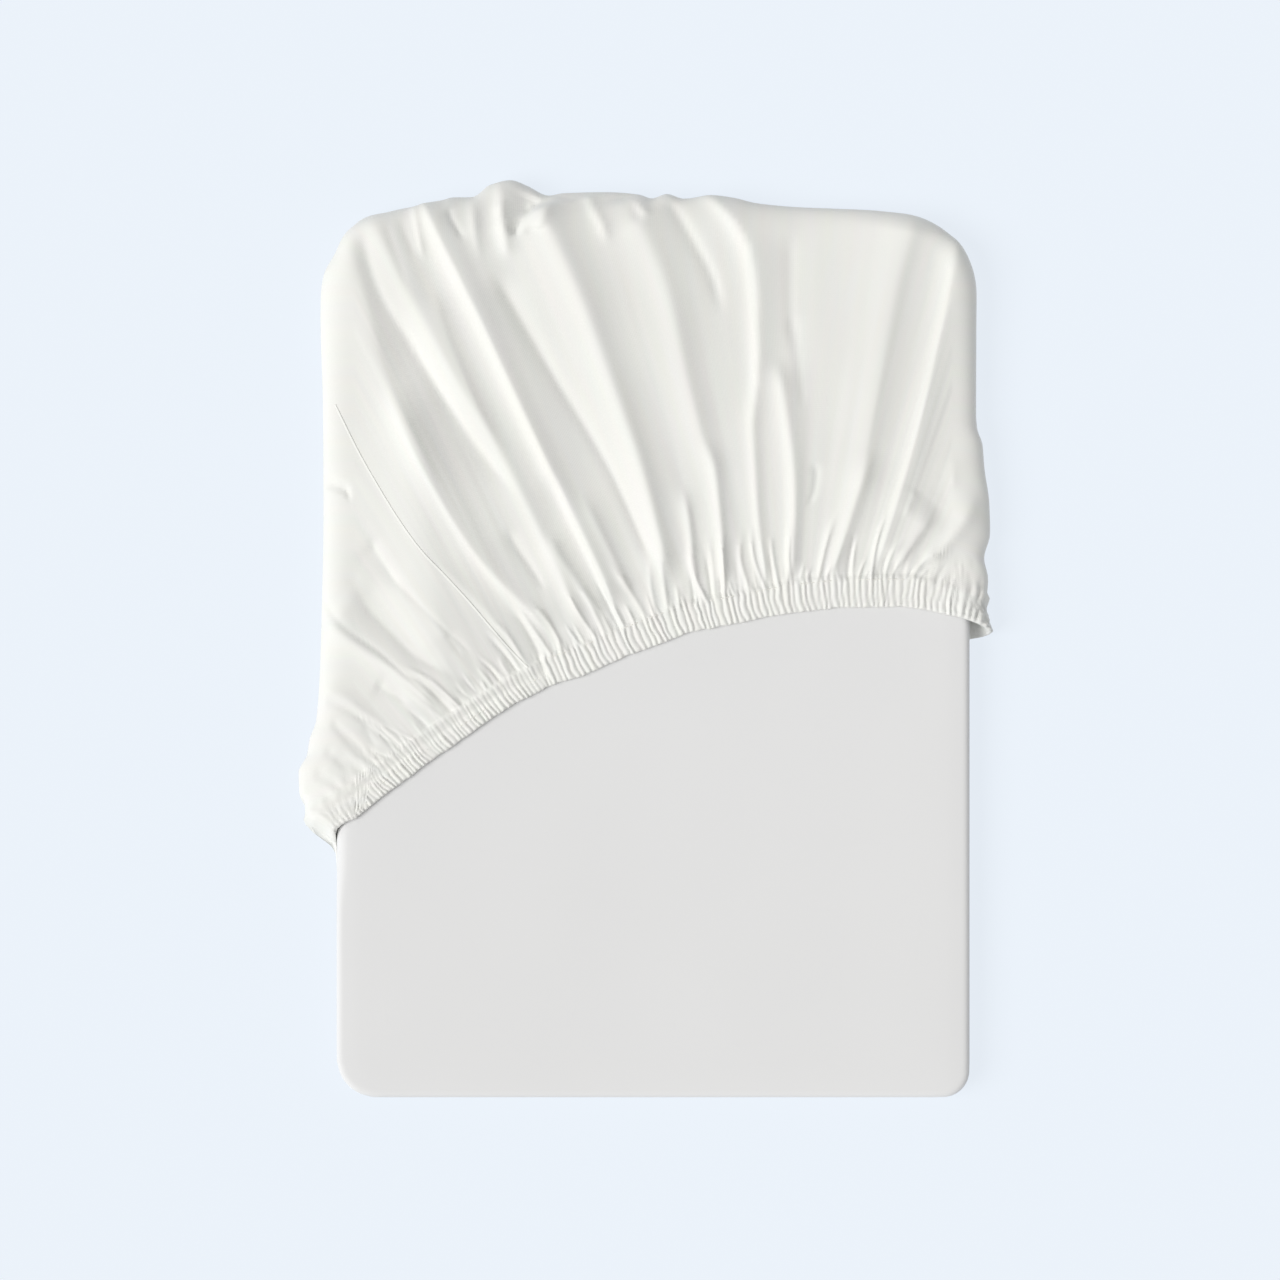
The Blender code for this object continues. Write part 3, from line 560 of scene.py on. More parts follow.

# %% [markdown]
# ## Gathers
# Above the casing the ribs join into gathers, and the gathers into the folds. The clear
# ones were read off the photograph and stand in a table: how far along the hem a
# gather starts, where it is half way and where it ends, how far off the hem it ends, its
# height and its reach to either side. A height below zero is a crease. Many faint short
# ones fill in between them.

# %% Table of the gathers
GATHERS = (
    (-10, -11.5, -13, 28, -0.45, 0.9), (-4, -6, -8.5, 27, -0.45, 0.9),
    (2, 0.5, -2.5, 31, -0.5, 0.9), (3, 1.5, 0, 29, -0.25, 0.9),
    (8.8, 7.8, 5.3, 42, -0.7, 1.0), (16, 13, 9.5, 22, -0.5, 0.9),
    (13.5, 10.5, 8, 20, 0.4, 0.9), (23, 20.5, 12, 45, -0.7, 1.2),
    (29.5, 25, 20, 31, -0.5, 0.9), (30.5, 27.5, 24, 24, 0.5, 1.0),
    (40, 37.5, 34, 31, -0.35, 1.6), (47.5, 43, 39, 42, 0.35, 1.8),
    (52.5, 50, 42.5, 46, -0.8, 1.9), (57, 53.5, 46, 46, 0.8, 1.1),
    (63, 61.5, 60, 22, -0.45, 1.0), (67, 66, 65, 24, -0.5, 1.0),
    (74.5, 74, 73, 25, 0.45, 1.0), (78.8, 77.8, 75.3, 28, -0.8, 1.0),
    (81, 79, 76, 29, 0.55, 1.0), (71.5, 71.5, 71.5, 18, 0.6, 1.0),
    (83.5, 83.3, 84, 24, 0.5, 1.1), (87.5, 86, 83.3, 35, -0.75, 1.0),
    (88.8, 87.5, 84.5, 39, 0.5, 1.1), (92, 90.5, 86, 46, 0.45, 1.1),
    (98.5, 97, 94, 46, -0.9, 1.8), (103, 99, 96, 46, 0.8, 1.3),
    (109.5, 106.5, 100, 43, 0.9, 1.6), (118.3, 116.5, 114.3, 26, 0.65, 1.0),
    (121, 120, 118.8, 25, 0.45, 0.9), (127, 123.8, 122, 46, 0.8, 1.3),
    (131.5, 131, 127.5, 46, 0.8, 1.7), (134.6, 134.2, 133.8, 24, 0.45, 0.9),
    (138.6, 138, 137, 46, -0.8, 1.4), (140.8, 139.3, 138, 46, 1.0, 1.2),
    (146, 145.3, 144.3, 24, 0.5, 0.9), (152, 149, 145, 46, 0.7, 1.9),
    (155.2, 155.4, 155.6, 19, 0.4, 0.9), (156.5, 158.5, 162, 40, 0.55, 1.3),
    (162, 164.3, 166.5, 46, 1.0, 1.7), (167, 167.7, 168.4, 24, 0.6, 0.9),
    (174, 174.5, 175, 30, -0.5, 1.2), (179.2, 176, 178, 46, 1.0, 1.4),
    (182, 182.7, 183, 36, -0.7, 1.4), (183, 185, 186, 46, 0.5, 1.4),
    (186.3, 187, 187.7, 24, -0.6, 0.9), (188, 190, 192.3, 46, 1.1, 1.3),
    (192.3, 191.8, 191.3, 21, 0.4, 0.9), (195, 196, 197, 32, -0.35, 1.9),
    (200.3, 198.8, 203, 44, 0.7, 1.6), (207.5, 205, 207, 46, 0.8, 1.1),
    (211.5, 212, 212.5, 35, -0.5, 1.1), (213.6, 213, 214, 40, 0.85, 1.2),
    (219.6, 219.4, 221, 36, 0.5, 1.0), (217.3, 220, 223, 46, 0.9, 1.5),
    (223.5, 224.5, 227, 23, 0.55, 1.0), (226, 227.5, 230, 21, 0.4, 1.0),
    (231.3, 236, 241, 46, 1.1, 1.4), (234.5, 236.5, 238.3, 22, 0.55, 1.0),
    (244.5, 246.3, 248.5, 37, -0.7, 1.4), (246.8, 247.4, 249, 32, 0.75, 1.0),
    (249.4, 251, 253.3, 23, 0.55, 1.0), (252.3, 254, 257, 20, 0.4, 0.9),
    (255.3, 258, 263.3, 46, 1.1, 1.2), (260.5, 261.5, 263.5, 26, -0.7, 1.2),
    (261.5, 264, 270, 33, 0.8, 1.5), (265, 266.5, 268.5, 23, 0.55, 1.0),
    (268.5, 270, 272, 30, -0.35, 1.4), (271, 272, 274, 20, -0.5, 0.8),
    (272, 277, 288, 32, 0.75, 1.8), (275.5, 278, 282, 21, 0.4, 0.9),
    (282.5, 285, 289, 26, -0.55, 0.8), (284, 287, 291, 26, 0.5, 0.9),
    (289, 290.5, 292.5, 23, -0.6, 0.8), (290.3, 293, 300, 29, 0.6, 1.1),
    (296, 296.5, 297.5, 20, 0.45, 0.9),
)
GATHERS_FROM = 13.0         # off the hem's edge
GATHERS_RAISED = 1.25       # all heights in the table are raised by this
FAINT_GATHERS = 110


def faint_gathers():
    """Short gathers spread along the hem, which lean away from its middle."""
    made = []
    for number in range(FAINT_GATHERS):
        foot = -20.0 + 320.0 * (number + rng.uniform()) / FAINT_GATHERS
        lean = rng.uniform(-2.0, 0.5) if foot < 150 else rng.uniform(-0.5, 2.0)
        made.append((foot, foot + 0.5 * lean, foot + lean, rng.uniform(17.0, 27.0),
                     rng.uniform(-0.3, 0.35), rng.uniform(0.8, 1.3)))
    return made


all_gathers = (*GATHERS, *faint_gathers())


def gather_height(along, off):
    """Sum of all the gathers."""
    total = np.zeros(len(along))
    for foot, middle, end, end_off, height, reach in all_gathers:
        t = (off - GATHERS_FROM) / (end_off - GATHERS_FROM)
        centre = curve_through((0.0, 0.5, 1.0), (foot, middle, end), np.clip(t, 0, 1))
        across = np.clip((along - centre) / reach, -9, 9)
        rise = smooth((off - GATHERS_FROM + 2.0) / 4.0)
        profile = GATHERS_RAISED * height / np.cosh(1.9 * across)
        total += profile * rise * falling(t, 0.6, 0.4)
    return total


print(len(all_gathers), "gathers")

# %% [markdown]
# ## The cloth's surface
# Now the parts are added up, row by row. The hem needs very many columns for its ribs, the
# open front fewer and the flat back fewer still, so each zone has its own set of columns,
# and rows with unlike columns are joined by triangles, as a zip closes. The lining side is
# the same surface without the casing, one cloth's thickness below.

# %% Columns and rows
END_COLUMNS = (0.0004, 0.0009, 0.0016, 0.0026, 0.004)
TRIAL_COLUMNS, TRIAL_DOWNS = 4001, 2001     # close enough to measure lengths on


def columns(count, evenness):
    """Places of columns from 0 to 1: by hem length at evenness 1, by edge length at 0."""
    fine = np.linspace(0.0, 1.0, TRIAL_COLUMNS)
    place = place_on_edge(fine, np.full(TRIAL_COLUMNS, 0.5))
    by_edge = (place - place[0]) / (place[-1] - place[0])
    mixed = evenness * fine + (1.0 - evenness) * by_edge
    made = np.interp(np.linspace(0.0, 1.0, count + 1), mixed, fine)
    ends = np.array(END_COLUMNS)
    return np.unique(np.concatenate([made, ends, 1.0 - ends]))


def even_downs(steps):
    """Steps round the edge that are about equally long on the rounded section."""
    down = np.linspace(0.0, 1.0, TRIAL_DOWNS)
    points = np.concatenate([edge_base(np.full(1, 0.5), t)["base"] for t in down])
    gaps = np.linalg.norm(np.diff(points, axis=0), axis=1)
    places = np.concatenate([[0.0], np.cumsum(gaps)])
    return np.interp(np.linspace(0.0, places[-1], steps + 1), places, down)


hem_columns = columns(700, 1.0)
body_columns = columns(380, 0.5)
back_columns = columns(200, 0.5)
# distances of rows off the hem's edge
CASING_ROWS = (
    0.0, 0.2, 0.6, 1.2, 2.0, 3.2, 4.6, 6.0, 7.4, 8.6, 9.6, 10.6, 11.6, 12.6, 13.4, 14.2,
)
GATHER_ROWS = (
    15.0, 16.0, 17.0, 18.2, 19.5, 21.0, 22.5, 24.0, 25.8, 27.6, 29.5, 31.5, 33.5, 35.5,
)
BACK_ROWS = (0.0, 0.6, 1.5, 3.0, 5.0, 7.5, 10.0, 12.5, 14.0, 17.0, 20.0)
LINING_ROWS = (0.0, 7.0, 14.0, 19.0)
FRONT_STEPS, EDGE_STEPS, BACK_STEPS = 92, 56, 10
LINING_STEPS = (18, 16, 8)  # the same for the lining side


def outer_rows():
    """Rows of the outer side, from the front hem round the edge to the back hem."""
    made = [flat_base(hem_columns, True, d, 0.0) for d in CASING_ROWS + GATHER_ROWS]
    last = GATHER_ROWS[-1]
    for step in range(1, FRONT_STEPS):
        made.append(flat_base(body_columns, True, last, step / FRONT_STEPS))
    made += [edge_base(body_columns, down) for down in even_downs(EDGE_STEPS)]
    for step in range(1, BACK_STEPS):
        made.append(flat_base(back_columns, False, BACK_ROWS[-1], 1 - step / BACK_STEPS))
    return made + [flat_base(body_columns, False, d, 0.0) for d in reversed(BACK_ROWS)]


def lining_rows():
    """Rows of the lining side, which is smoother and needs fewer."""
    front, edge, back = LINING_STEPS
    made = [flat_base(back_columns, True, d, 0.0) for d in LINING_ROWS]
    for step in range(1, front):
        made.append(flat_base(back_columns, True, LINING_ROWS[-1], step / front))
    made += [edge_base(back_columns, down) for down in even_downs(edge)]
    for step in range(1, back + 1):
        made.append(flat_base(back_columns, False, 0.0, 1 - step / back))
    return made


rows = outer_rows()
print(len(rows), "rows,", sum(len(row["u"]) for row in rows), "points")


# %% Height of the cloth on each row
STREAK_HEIGHT = 0.12        # fine streaks along the columns
RUMPLE_HEIGHT = 0.4         # wide soft hills of washed cloth
DEEPEST_RIB, DEEPEST_FOLD = -0.5, -0.2      # so that the outer side stays off the lining


def near_hem(points):
    """How far along the hem and how far off its edge; far points count as HEM_REACH off."""
    along, off = np.zeros(len(points)), np.full(len(points), HEM_REACH)
    for number, point in enumerate(points):
        _, nearest, gap = hem_tree.find(point)
        if gap < HEM_REACH:
            along[number], off[number] = hem_at[nearest], gap
    before_front = along > hem_at[-1] - LEFT_SIDE
    return np.where(before_front, along - hem_at[-1], along), off


def soft_lift(row, along, off):
    """Lift of the lining side: the loft and all the folds."""
    spots, share = row["spot"], row["share"]
    place = place_on_edge(row["u"], np.full(len(row["u"]), 0.5))
    streaks = uneven(place / 9.0, row["from_hem"] / 80.0, 21)
    streaks = streaks + 0.5 * uneven(place / 4.0, row["from_hem"] / 50.0, 22)
    rumple = uneven(spots[:, 0] / 26.0, spots[:, 1] / 30.0, 23)
    fine = STREAK_HEIGHT * streaks + RUMPLE_HEIGHT * rumple
    fine = fine * smooth(row["from_hem"] / 30.0)
    folds = ridges(spots, FOLDS) + ridges(spots, CREASES) + gather_height(along, off)
    return row["loft"] + share * (folds + fine)


def hug(row, along, off):
    """Share by which the cloth near the hem lies against the pad's left side."""
    return hugging(along, row["down"]) * falling(off, 0.0, TUCK_WIDTH)


def edge_wave(row, along, off):
    """How the hem's edge wanders: gathers pull it up, and at the side it leans to the pad."""
    if "stand" in row:
        near = hug(row, along, off)
        tuck = near * np.maximum(row["stand"] - TUCK_CLEARANCE, 0.0)
        return np.column_stack([-row["outward"] * tuck[:, None], np.zeros(len(tuck))])
    if row["down"] > 0.0:
        return 0.0
    wave = 0.3 * uneven(along / 6.0 + 30, off * 0.0, 41)
    wave = wave + 0.25 * uneven(along / 2.0 + 60, off * 0.0, 42)
    ends = smooth(along / 8.0) * smooth((hem_length - along) / 8.0)
    wave = wave * falling(off, 1.0, 7.0) * ends
    return row["way"] * wave[:, None]


def outer_points(row):
    """The row's points on the outer side: base, cloth, casing and folds."""
    along, off = near_hem(row["base"])
    bunched = bunching(along, row["down"])
    rolled_over = HEM_ROLL + (BUNCH_ROLL - HEM_ROLL) * bunched
    edge_share = EDGE_SHARE + (BUNCH_EDGE_SHARE - EDGE_SHARE) * hugging(along, row["down"])
    roll = np.sqrt(1.0 - (1.0 - np.clip(off / rolled_over, 0, 1)) ** 2)
    added = np.where(off < HEM_REACH, casing(along, off, row["down"]), 0.0)
    total = (CLOTH + np.maximum(added, DEEPEST_RIB)) * (edge_share + (1.0 - edge_share) * roll)
    soft = np.maximum(soft_lift(row, along, off), DEEPEST_FOLD)
    lift = total + soft * (1.0 - hug(row, along, off))
    if row["down"] == 1.0:
        lift = np.minimum(lift, CLOTH)
    points = row["base"] + row["normal"] * lift[:, None]
    points[:, 2] = np.maximum(points[:, 2], 0.0)
    return points + edge_wave(row, along, off)


def lining_points(row):
    """The row's points on the lining side: the folds alone."""
    along, off = near_hem(row["base"])
    lift = np.maximum(soft_lift(row, along, off), 0.0)
    lift = lift * (1.0 - hug(row, along, off))
    return row["base"] + row["normal"] * lift[:, None] + edge_wave(row, along, off)


print("highest casing, mm:", outer_points(rows[6])[:, 2].max().round(1))


# %% Zip the rows together
BACK_THREADS = 500          # added to the back layer's thread coordinates


def zip_rows(first, first_at, second, second_at):
    """Faces between two rows of vertex numbers, each with its places from 0 to 1."""
    if len(first) == len(second):
        return [(first[i], first[i + 1], second[i + 1], second[i])
                for i in range(len(first) - 1)]
    faces, i, j = [], 0, 0
    while i < len(first) - 1 or j < len(second) - 1:
        first_next = first_at[i + 1] if i < len(first) - 1 else math.inf
        second_next = second_at[j + 1] if j < len(second) - 1 else math.inf
        if first_next <= second_next:
            faces.append((first[i], first[i + 1], second[j]))
            i += 1
        else:
            faces.append((first[i], second[j + 1], second[j]))
            j += 1
    return faces


def numbered(points_by_row, start):
    """Vertex numbers of each row, and the number that follows the last."""
    made = []
    for points in points_by_row:
        made.append(list(range(start, start + len(points))))
        start += len(points)
    return made, start


def side_shares(points_by_row, column):
    """Places from 0 to 1 down an end column, by its length."""
    line = np.array([points[column] for points in points_by_row])
    gaps = np.linalg.norm(np.diff(line, axis=0), axis=1)
    places = np.concatenate([[0.0], np.cumsum(gaps)])
    return places / places[-1]


def make_cloth():
    """All vertices, faces and thread coordinates of the closed sheet, in mm."""
    inner = lining_rows()
    outside = [outer_points(row) for row in rows]
    inside = [lining_points(row) for row in inner]
    out_ids, following = numbered(outside, 0)
    in_ids, _ = numbered(inside, following)
    faces = []
    for i in range(len(rows) - 1):
        faces += zip_rows(out_ids[i], rows[i]["u"], out_ids[i + 1], rows[i + 1]["u"])
    for i in range(len(inner) - 1):
        made = zip_rows(in_ids[i], inner[i]["u"], in_ids[i + 1], inner[i + 1]["u"])
        faces += [face[::-1] for face in made]
    for end in (0, -1):
        made = zip_rows(out_ids[end], rows[end]["u"], in_ids[end], inner[end]["u"])
        faces += [face[::-1] for face in made] if end == 0 else made
    for column in (0, -1):
        made = zip_rows([ids[column] for ids in out_ids], side_shares(outside, column),
                        [ids[column] for ids in in_ids], side_shares(inside, column))
        faces += made if column == 0 else [face[::-1] for face in made]
    threads = [np.column_stack([place_on_edge(r["u"], np.full(len(r["u"]), 0.5)),
                                r["from_hem"] + (0 if r["down"] < 1 else BACK_THREADS)])
               for r in rows + inner]
    return np.concatenate(outside + inside), faces, np.concatenate(threads)


cloth_points, cloth_faces, cloth_threads = make_cloth()
print(len(cloth_points), "points,", sum(len(face) - 2 for face in cloth_faces), "triangles")

# %% [markdown]
# ## Into Blender
# One helper turns points and faces into an object and serves every piece. A few more build
# the node materials: a noise, a tone between two colours, a roughness and a bump.

# %% Helpers for objects and materials
def add_piece(name, points, faces, finish):
    """A smooth-shaded object from points in mm."""
    data = bpy.data.meshes.new(name)
    data.from_pydata((np.asarray(points) * MM).tolist(), [], faces)
    data.materials.append(finish)
    data.shade_smooth()
    data.update()
    made = bpy.data.objects.new(name, data)
    bpy.context.scene.collection.objects.link(made)
    return made


def linear(hex_colour):
    """An sRGB hex colour as Blender's linear light."""
    parts = [int(hex_colour[i:i + 2], 16) / 255 for i in (1, 3, 5)]
    light = [c / 12.92 if c <= 0.04045 else ((c + 0.055) / 1.055) ** 2.4 for c in parts]
    return (*light, 1.0)


def add_node(tree, kind, settings=None, links=None):
    """Adds a node. Settings are its own properties or its inputs; links feed its inputs."""
    node = tree.nodes.new("ShaderNode" + kind)
    for key, value in (settings or {}).items():
        if isinstance(key, int) or key in node.inputs:
            node.inputs[key].default_value = value
        else:
            setattr(node, key, value)
    for key, source in (links or {}).items():
        tree.links.new(source, node.inputs[key])
    return node


def new_material(name):
    """A node material, its tree and its shader."""
    made = bpy.data.materials.new(name)
    made.use_nodes = True
    return made, made.node_tree, made.node_tree.nodes["Principled BSDF"]


def noise(tree, place, scale, detail=2.0):
    """Outputs of a noise texture."""
    return add_node(tree, "TexNoise", {"Scale": scale, "Detail": detail}, {"Vector": place}).outputs


def blend(tree, first, second, share):
    """A tone between two hex colours."""
    settings = {"data_type": "RGBA", 6: linear(first), 7: linear(second)}
    return add_node(tree, "Mix", settings, {0: share}).outputs[2]


def roughen(tree, shader, least, more, share):
    """Roughness from least to least + more."""
    settings = {"operation": "MULTIPLY_ADD", 1: more, 2: least}
    rough = add_node(tree, "Math", settings, {0: share})
    tree.links.new(rough.outputs[0], shader.inputs["Roughness"])


def bump(tree, height, strength, depth, under=None):
    """Bump of a depth in mm, over another one if there is one."""
    links = {"Height": height} | ({"Normal": under} if under is not None else {})
    return add_node(tree, "Bump", {"Strength": strength, "Distance": depth * MM}, links).outputs[0]


print("light cotton in linear light:", [round(c, 3) for c in linear("#F0F0EC")[:3]])

# %% [markdown]
# ## Woven cotton
# The sheet is bleached cotton percale: matt, with a faint bloom from loose fibres at
# grazing angles. Its threads lie 0.25 mm apart, far too fine to show in the picture, so
# the weave is drawn at 0.9 mm. Cotton yarn is uneven, which gives soft streaks along the
# threads. The thread coordinates run along the cloth, so the weave follows each fold.

# %% Cotton
THREAD_PITCH = 0.9 * MM     # real threads are 0.25 mm apart; drawn coarser so they show
WAVE_PERIOD = 2 * math.pi / 20      # length of one band of Blender's wave at scale 1


def make_cotton():
    made, tree, shader = new_material("bleached cotton percale, woven")
    threads = add_node(tree, "UVMap", {"uv_map": "threads"}).outputs[0]
    weave = []
    for direction in ("X", "Y"):
        weave.append(add_node(tree, "TexWave", {
            "bands_direction": direction, "Scale": WAVE_PERIOD / THREAD_PITCH,
            "Distortion": 0.6, "Detail": 1.0}, {"Vector": threads}).outputs["Fac"])
    crossed = add_node(tree, "Math", {"operation": "ADD"}, {0: weave[0], 1: weave[1]})
    stretched = add_node(tree, "Mapping", {"Scale": (160.0, 22.0, 1.0)}, {"Vector": threads})
    slub = noise(tree, stretched.outputs[0], 1.0, 3.0)
    place = add_node(tree, "TexCoord").outputs["Object"]
    wash = noise(tree, place, 14.0)
    fibre = noise(tree, place, 700.0)
    tone = blend(tree, "#ECECE7", "#F0F0EC", wash["Fac"])
    thread_tone = add_node(tree, "Mix", {"data_type": "RGBA", "blend_type": "MULTIPLY",
                                         0: 0.05}, {6: tone, 7: slub["Color"]})
    tree.links.new(thread_tone.outputs[2], shader.inputs["Base Color"])
    roughen(tree, shader, 0.74, 0.1, fibre["Fac"])
    woven = bump(tree, crossed.outputs[0], 0.25, 0.06)
    fuzzy = bump(tree, slub["Fac"], 0.25, 0.12, woven)
    tree.links.new(fuzzy, shader.inputs["Normal"])
    shader.inputs["Specular IOR Level"].default_value = 0.3
    shader.inputs["Sheen Weight"].default_value = 0.12
    shader.inputs["Sheen Roughness"].default_value = 0.5
    return made


cotton = make_cotton()
print("made", cotton.name)

# %% [markdown]
# ## The sheet
# It replaces the CAD sheet and rides on the same body. Its flat cut, front and back in one
# piece, is about as wide as the pad with both sides, and as long as both layers.

# %% Sheet
sheet = add_piece("cotton_sheet", cloth_points, cloth_faces, cotton)
thread_map = sheet.data.uv_layers.new(name="threads")
corner_vertices = np.empty(len(sheet.data.loops), int)
sheet.data.loops.foreach_get("vertex_index", corner_vertices)
thread_map.data.foreach_set("uv", (cloth_threads[corner_vertices] * MM).ravel())
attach(sheet, "root")
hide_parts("sheet")
sheet_surface = BVHTree.FromPolygons((cloth_points * MM).tolist(), cloth_faces)
print("sheet made of", len(sheet.data.polygons), "faces")

# %% [markdown]
# ## The pad
# A thin slab of firm wadding in a plain grey cover. A cube's grid of points is bent into
# round corners: near each corner, a point's greater distance from the corner's centre
# becomes its radius, which turns the square corner into a quarter disc. The rim's rounding
# then depends only on how far a point lies in from the edge.

# %% Pad's shape
FOOT_LEFT_RADIUS, FOOT_RIGHT_RADIUS = 19.0, 13.0
PAD_RIM, BARE_RIM = 5.5, 3.0    # its rounding's radius, under the sheet and outside it
BARE_BELOW = (-120.0, 15.0)     # from where down the rim is bare, on the left and the right
RIM_CHANGE = 25.0               # length over which the radius changes
CROWN, CROWN_WIDTH = 0.45, 11.0     # how far the top sinks toward the rim
PAD_BOTTOM = CLOTH + GAP
RIM_LINES = (0.0, 0.1, 0.3, 0.7, 1.2, 1.9, 2.9, 4.1, 5.5, 8.0, 11.0)
PAD_SPACING = 6.0
WADDING_HEIGHT, WADDING_HILL = 0.12, 42.0


def grid_lines(width):
    """Places of the grid's lines across the pad, close together near its rim."""
    rim = np.array(RIM_LINES)
    inner = width / 2 - rim[-1]
    steps = int(2 * inner / PAD_SPACING)
    middle = np.linspace(-inner, inner, steps + 1)[1:-1]
    return np.concatenate([rim - width / 2, middle, (width / 2 - rim)[::-1]])


def round_corners(x, y):
    """Moves a rectangle's points into round corners, and gives each one's inset."""
    half_x, half_y = PAD_WIDTH / 2, PAD_LENGTH / 2
    foot = np.where(x < 0, FOOT_LEFT_RADIUS, FOOT_RIGHT_RADIUS)
    radius = np.where(y > 0, HEAD_CORNER_RADIUS, foot)
    over_x = np.abs(x) - (half_x - radius)
    over_y = np.abs(y) - (half_y - radius)
    corner = (over_x > 0) & (over_y > 0)
    reach = np.maximum(over_x, over_y)
    shrink = np.where(corner, reach / np.maximum(np.hypot(over_x, over_y), 1e-9), 1.0)
    new_x = np.where(corner, np.sign(x) * (half_x - radius + over_x * shrink), x)
    new_y = np.where(corner, np.sign(y) * (half_y - radius + over_y * shrink), y)
    inset = np.minimum(half_x - np.abs(x), half_y - np.abs(y))
    return new_x, new_y, inset


def make_pad():
    """Points and faces of the closed slab: top, underside and the strip between them."""
    x, y = np.meshgrid(grid_lines(PAD_WIDTH), grid_lines(PAD_LENGTH), indexing="ij")
    new_x, new_y, inset = round_corners(x, y)
    bare_below = np.where(x < 0, *BARE_BELOW)
    rim_radius = BARE_RIM + (PAD_RIM - BARE_RIM) * smooth((y - bare_below) / RIM_CHANGE)
    turn = np.clip(inset / rim_radius, 0, 1)
    drop = rim_radius * (1 - np.sqrt(1 - (1 - turn) ** 2))
    crown = CROWN * falling(inset, 0.0, CROWN_WIDTH)
    soft = uneven(x / WADDING_HILL, y / WADDING_HILL, 31) * smooth((inset - 8) / 20)
    soft = WADDING_HEIGHT * soft
    top = PAD_TOP - WADDING_HEIGHT - drop - crown + soft
    bottom = PAD_BOTTOM + drop
    points = [np.column_stack([new_x.ravel(), new_y.ravel(), z.ravel()]) for z in (top, bottom)]
    wide, long = x.shape
    number = np.arange(wide * long).reshape(wide, long)
    faces = []
    for i in range(wide - 1):
        for j in range(long - 1):
            quad = (number[i, j], number[i + 1, j], number[i + 1, j + 1], number[i, j + 1])
            faces.append(quad)
            faces.append(tuple(corner + wide * long for corner in quad[::-1]))
    rim = [*number[:, 0], *number[-1, 1:], *number[-2::-1, -1], *number[0, -2:0:-1]]
    for a, b in zip(rim, rim[1:] + rim[:1]):
        faces.append((b, a, a + wide * long, b + wide * long))
    return np.concatenate(points), faces


pad_points, pad_faces = make_pad()
print("pad, mm:", np.ptp(pad_points, axis=0).round(1))

# %% [markdown]
# ## The pad's cover
# A brushed polyester knit in a neutral pale grey, quite smooth. Brushing raises a short
# nap, so it has no gloss, and the wadding under it gives a very slight cloudiness.

# %% Cover
NAP_SIZE = 0.8 * MM         # real nap is 0.2 mm; drawn coarser so it shows


def make_cover():
    made, tree, shader = new_material("polyester knit, brushed")
    place = add_node(tree, "TexCoord").outputs["Object"]
    cloud = noise(tree, place, 11.0)
    nap = noise(tree, place, 1 / NAP_SIZE)
    tone = blend(tree, "#E3E3E3", "#E7E7E7", cloud["Fac"])
    tree.links.new(tone, shader.inputs["Base Color"])
    tree.links.new(bump(tree, nap["Fac"], 0.2, 0.08), shader.inputs["Normal"])
    roughen(tree, shader, 0.8, 0.1, nap["Fac"])
    shader.inputs["Specular IOR Level"].default_value = 0.25
    return made


pad = add_piece("pad_with_cover", pad_points, pad_faces, make_cover())
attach(pad, "root")
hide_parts("mattress_pad")
print("pad made of", len(pad.data.polygons), "faces")

# %% [markdown]
# ## The corner seam
# A fitted sheet's corner is a dart: two edges sewn together, so that one side lies a
# thread's width over the other. From above that is a hairline with a tiny step. A narrow
# strip follows the finished cloth: rays dropped on the sheet give its height everywhere.

# %% Seam
SEAM_LINE = (
    (-150, 120), (-139, 98), (-129, 80.5), (-119, 64.5), (-109, 51), (-98, 39.5),
    (-87, 27.5), (-76, 14.5), (-66, 3), (-59, -4),
)
# across the seam, height over the cloth
SEAM_SECTION = (
    (-1.6, -0.25), (-0.7, 0.1), (-0.25, 0.26), (0.0, 0.3), (0.12, 0.0), (0.5, -0.25),
)
SEAM_POINTS = 260
RAYS_FROM = 0.2             # metres over the floor, well above the cloth


def on_cloth(x, y):
    """The point of the sheet's top under (x, y), in mm."""
    hit, _, _, _ = sheet_surface.ray_cast((x * MM, y * MM, RAYS_FROM), (0, 0, -1))
    return None if hit is None else np.array(hit) / MM


def make_seam():
    """A strip with the seam's section, laid along its line on the cloth."""
    line = along_line(SEAM_LINE, np.linspace(0.0, 1.0, SEAM_POINTS))
    ahead = np.gradient(line, axis=0)
    ahead = ahead / np.hypot(*ahead.T)[:, None]
    points = []
    for (x, y), (step_x, step_y) in zip(line, ahead):
        for across, height in SEAM_SECTION:
            spot = (x - step_y * across, y + step_x * across)
            top = on_cloth(*spot)
            points.append(top + (0, 0, height))
    wide = len(SEAM_SECTION)
    faces = []
    for i in range(len(line) - 1):
        for j in range(wide - 1):
            a = i * wide + j
            faces.append((a, a + 1, a + wide + 1, a + wide))
    return points, faces


seam_points, seam_faces = make_seam()
seam = add_piece("corner_seam", seam_points, seam_faces, cotton)
print("seam of", len(seam_faces), "faces")

# %% [markdown]
# ## Stitches
# The casing is closed by a line of lockstitch, and each stitch is a short thread that dips
# into the cloth at both ends. Along the hem a stitch takes 2.5 mm. Each is a slim spindle
# laid between two points found on the cloth.

# %% Hem stitches
STITCH_PITCH = 2.5
STITCH_LENGTH = 1.9
THREAD_RADIUS = 0.17
SPINDLE_RINGS = ((0.0, 0.2), (0.15, 0.8), (0.4, 1.0), (0.6, 1.0), (0.85, 0.8), (1.0, 0.2))
SPINDLE_SIDES = 6


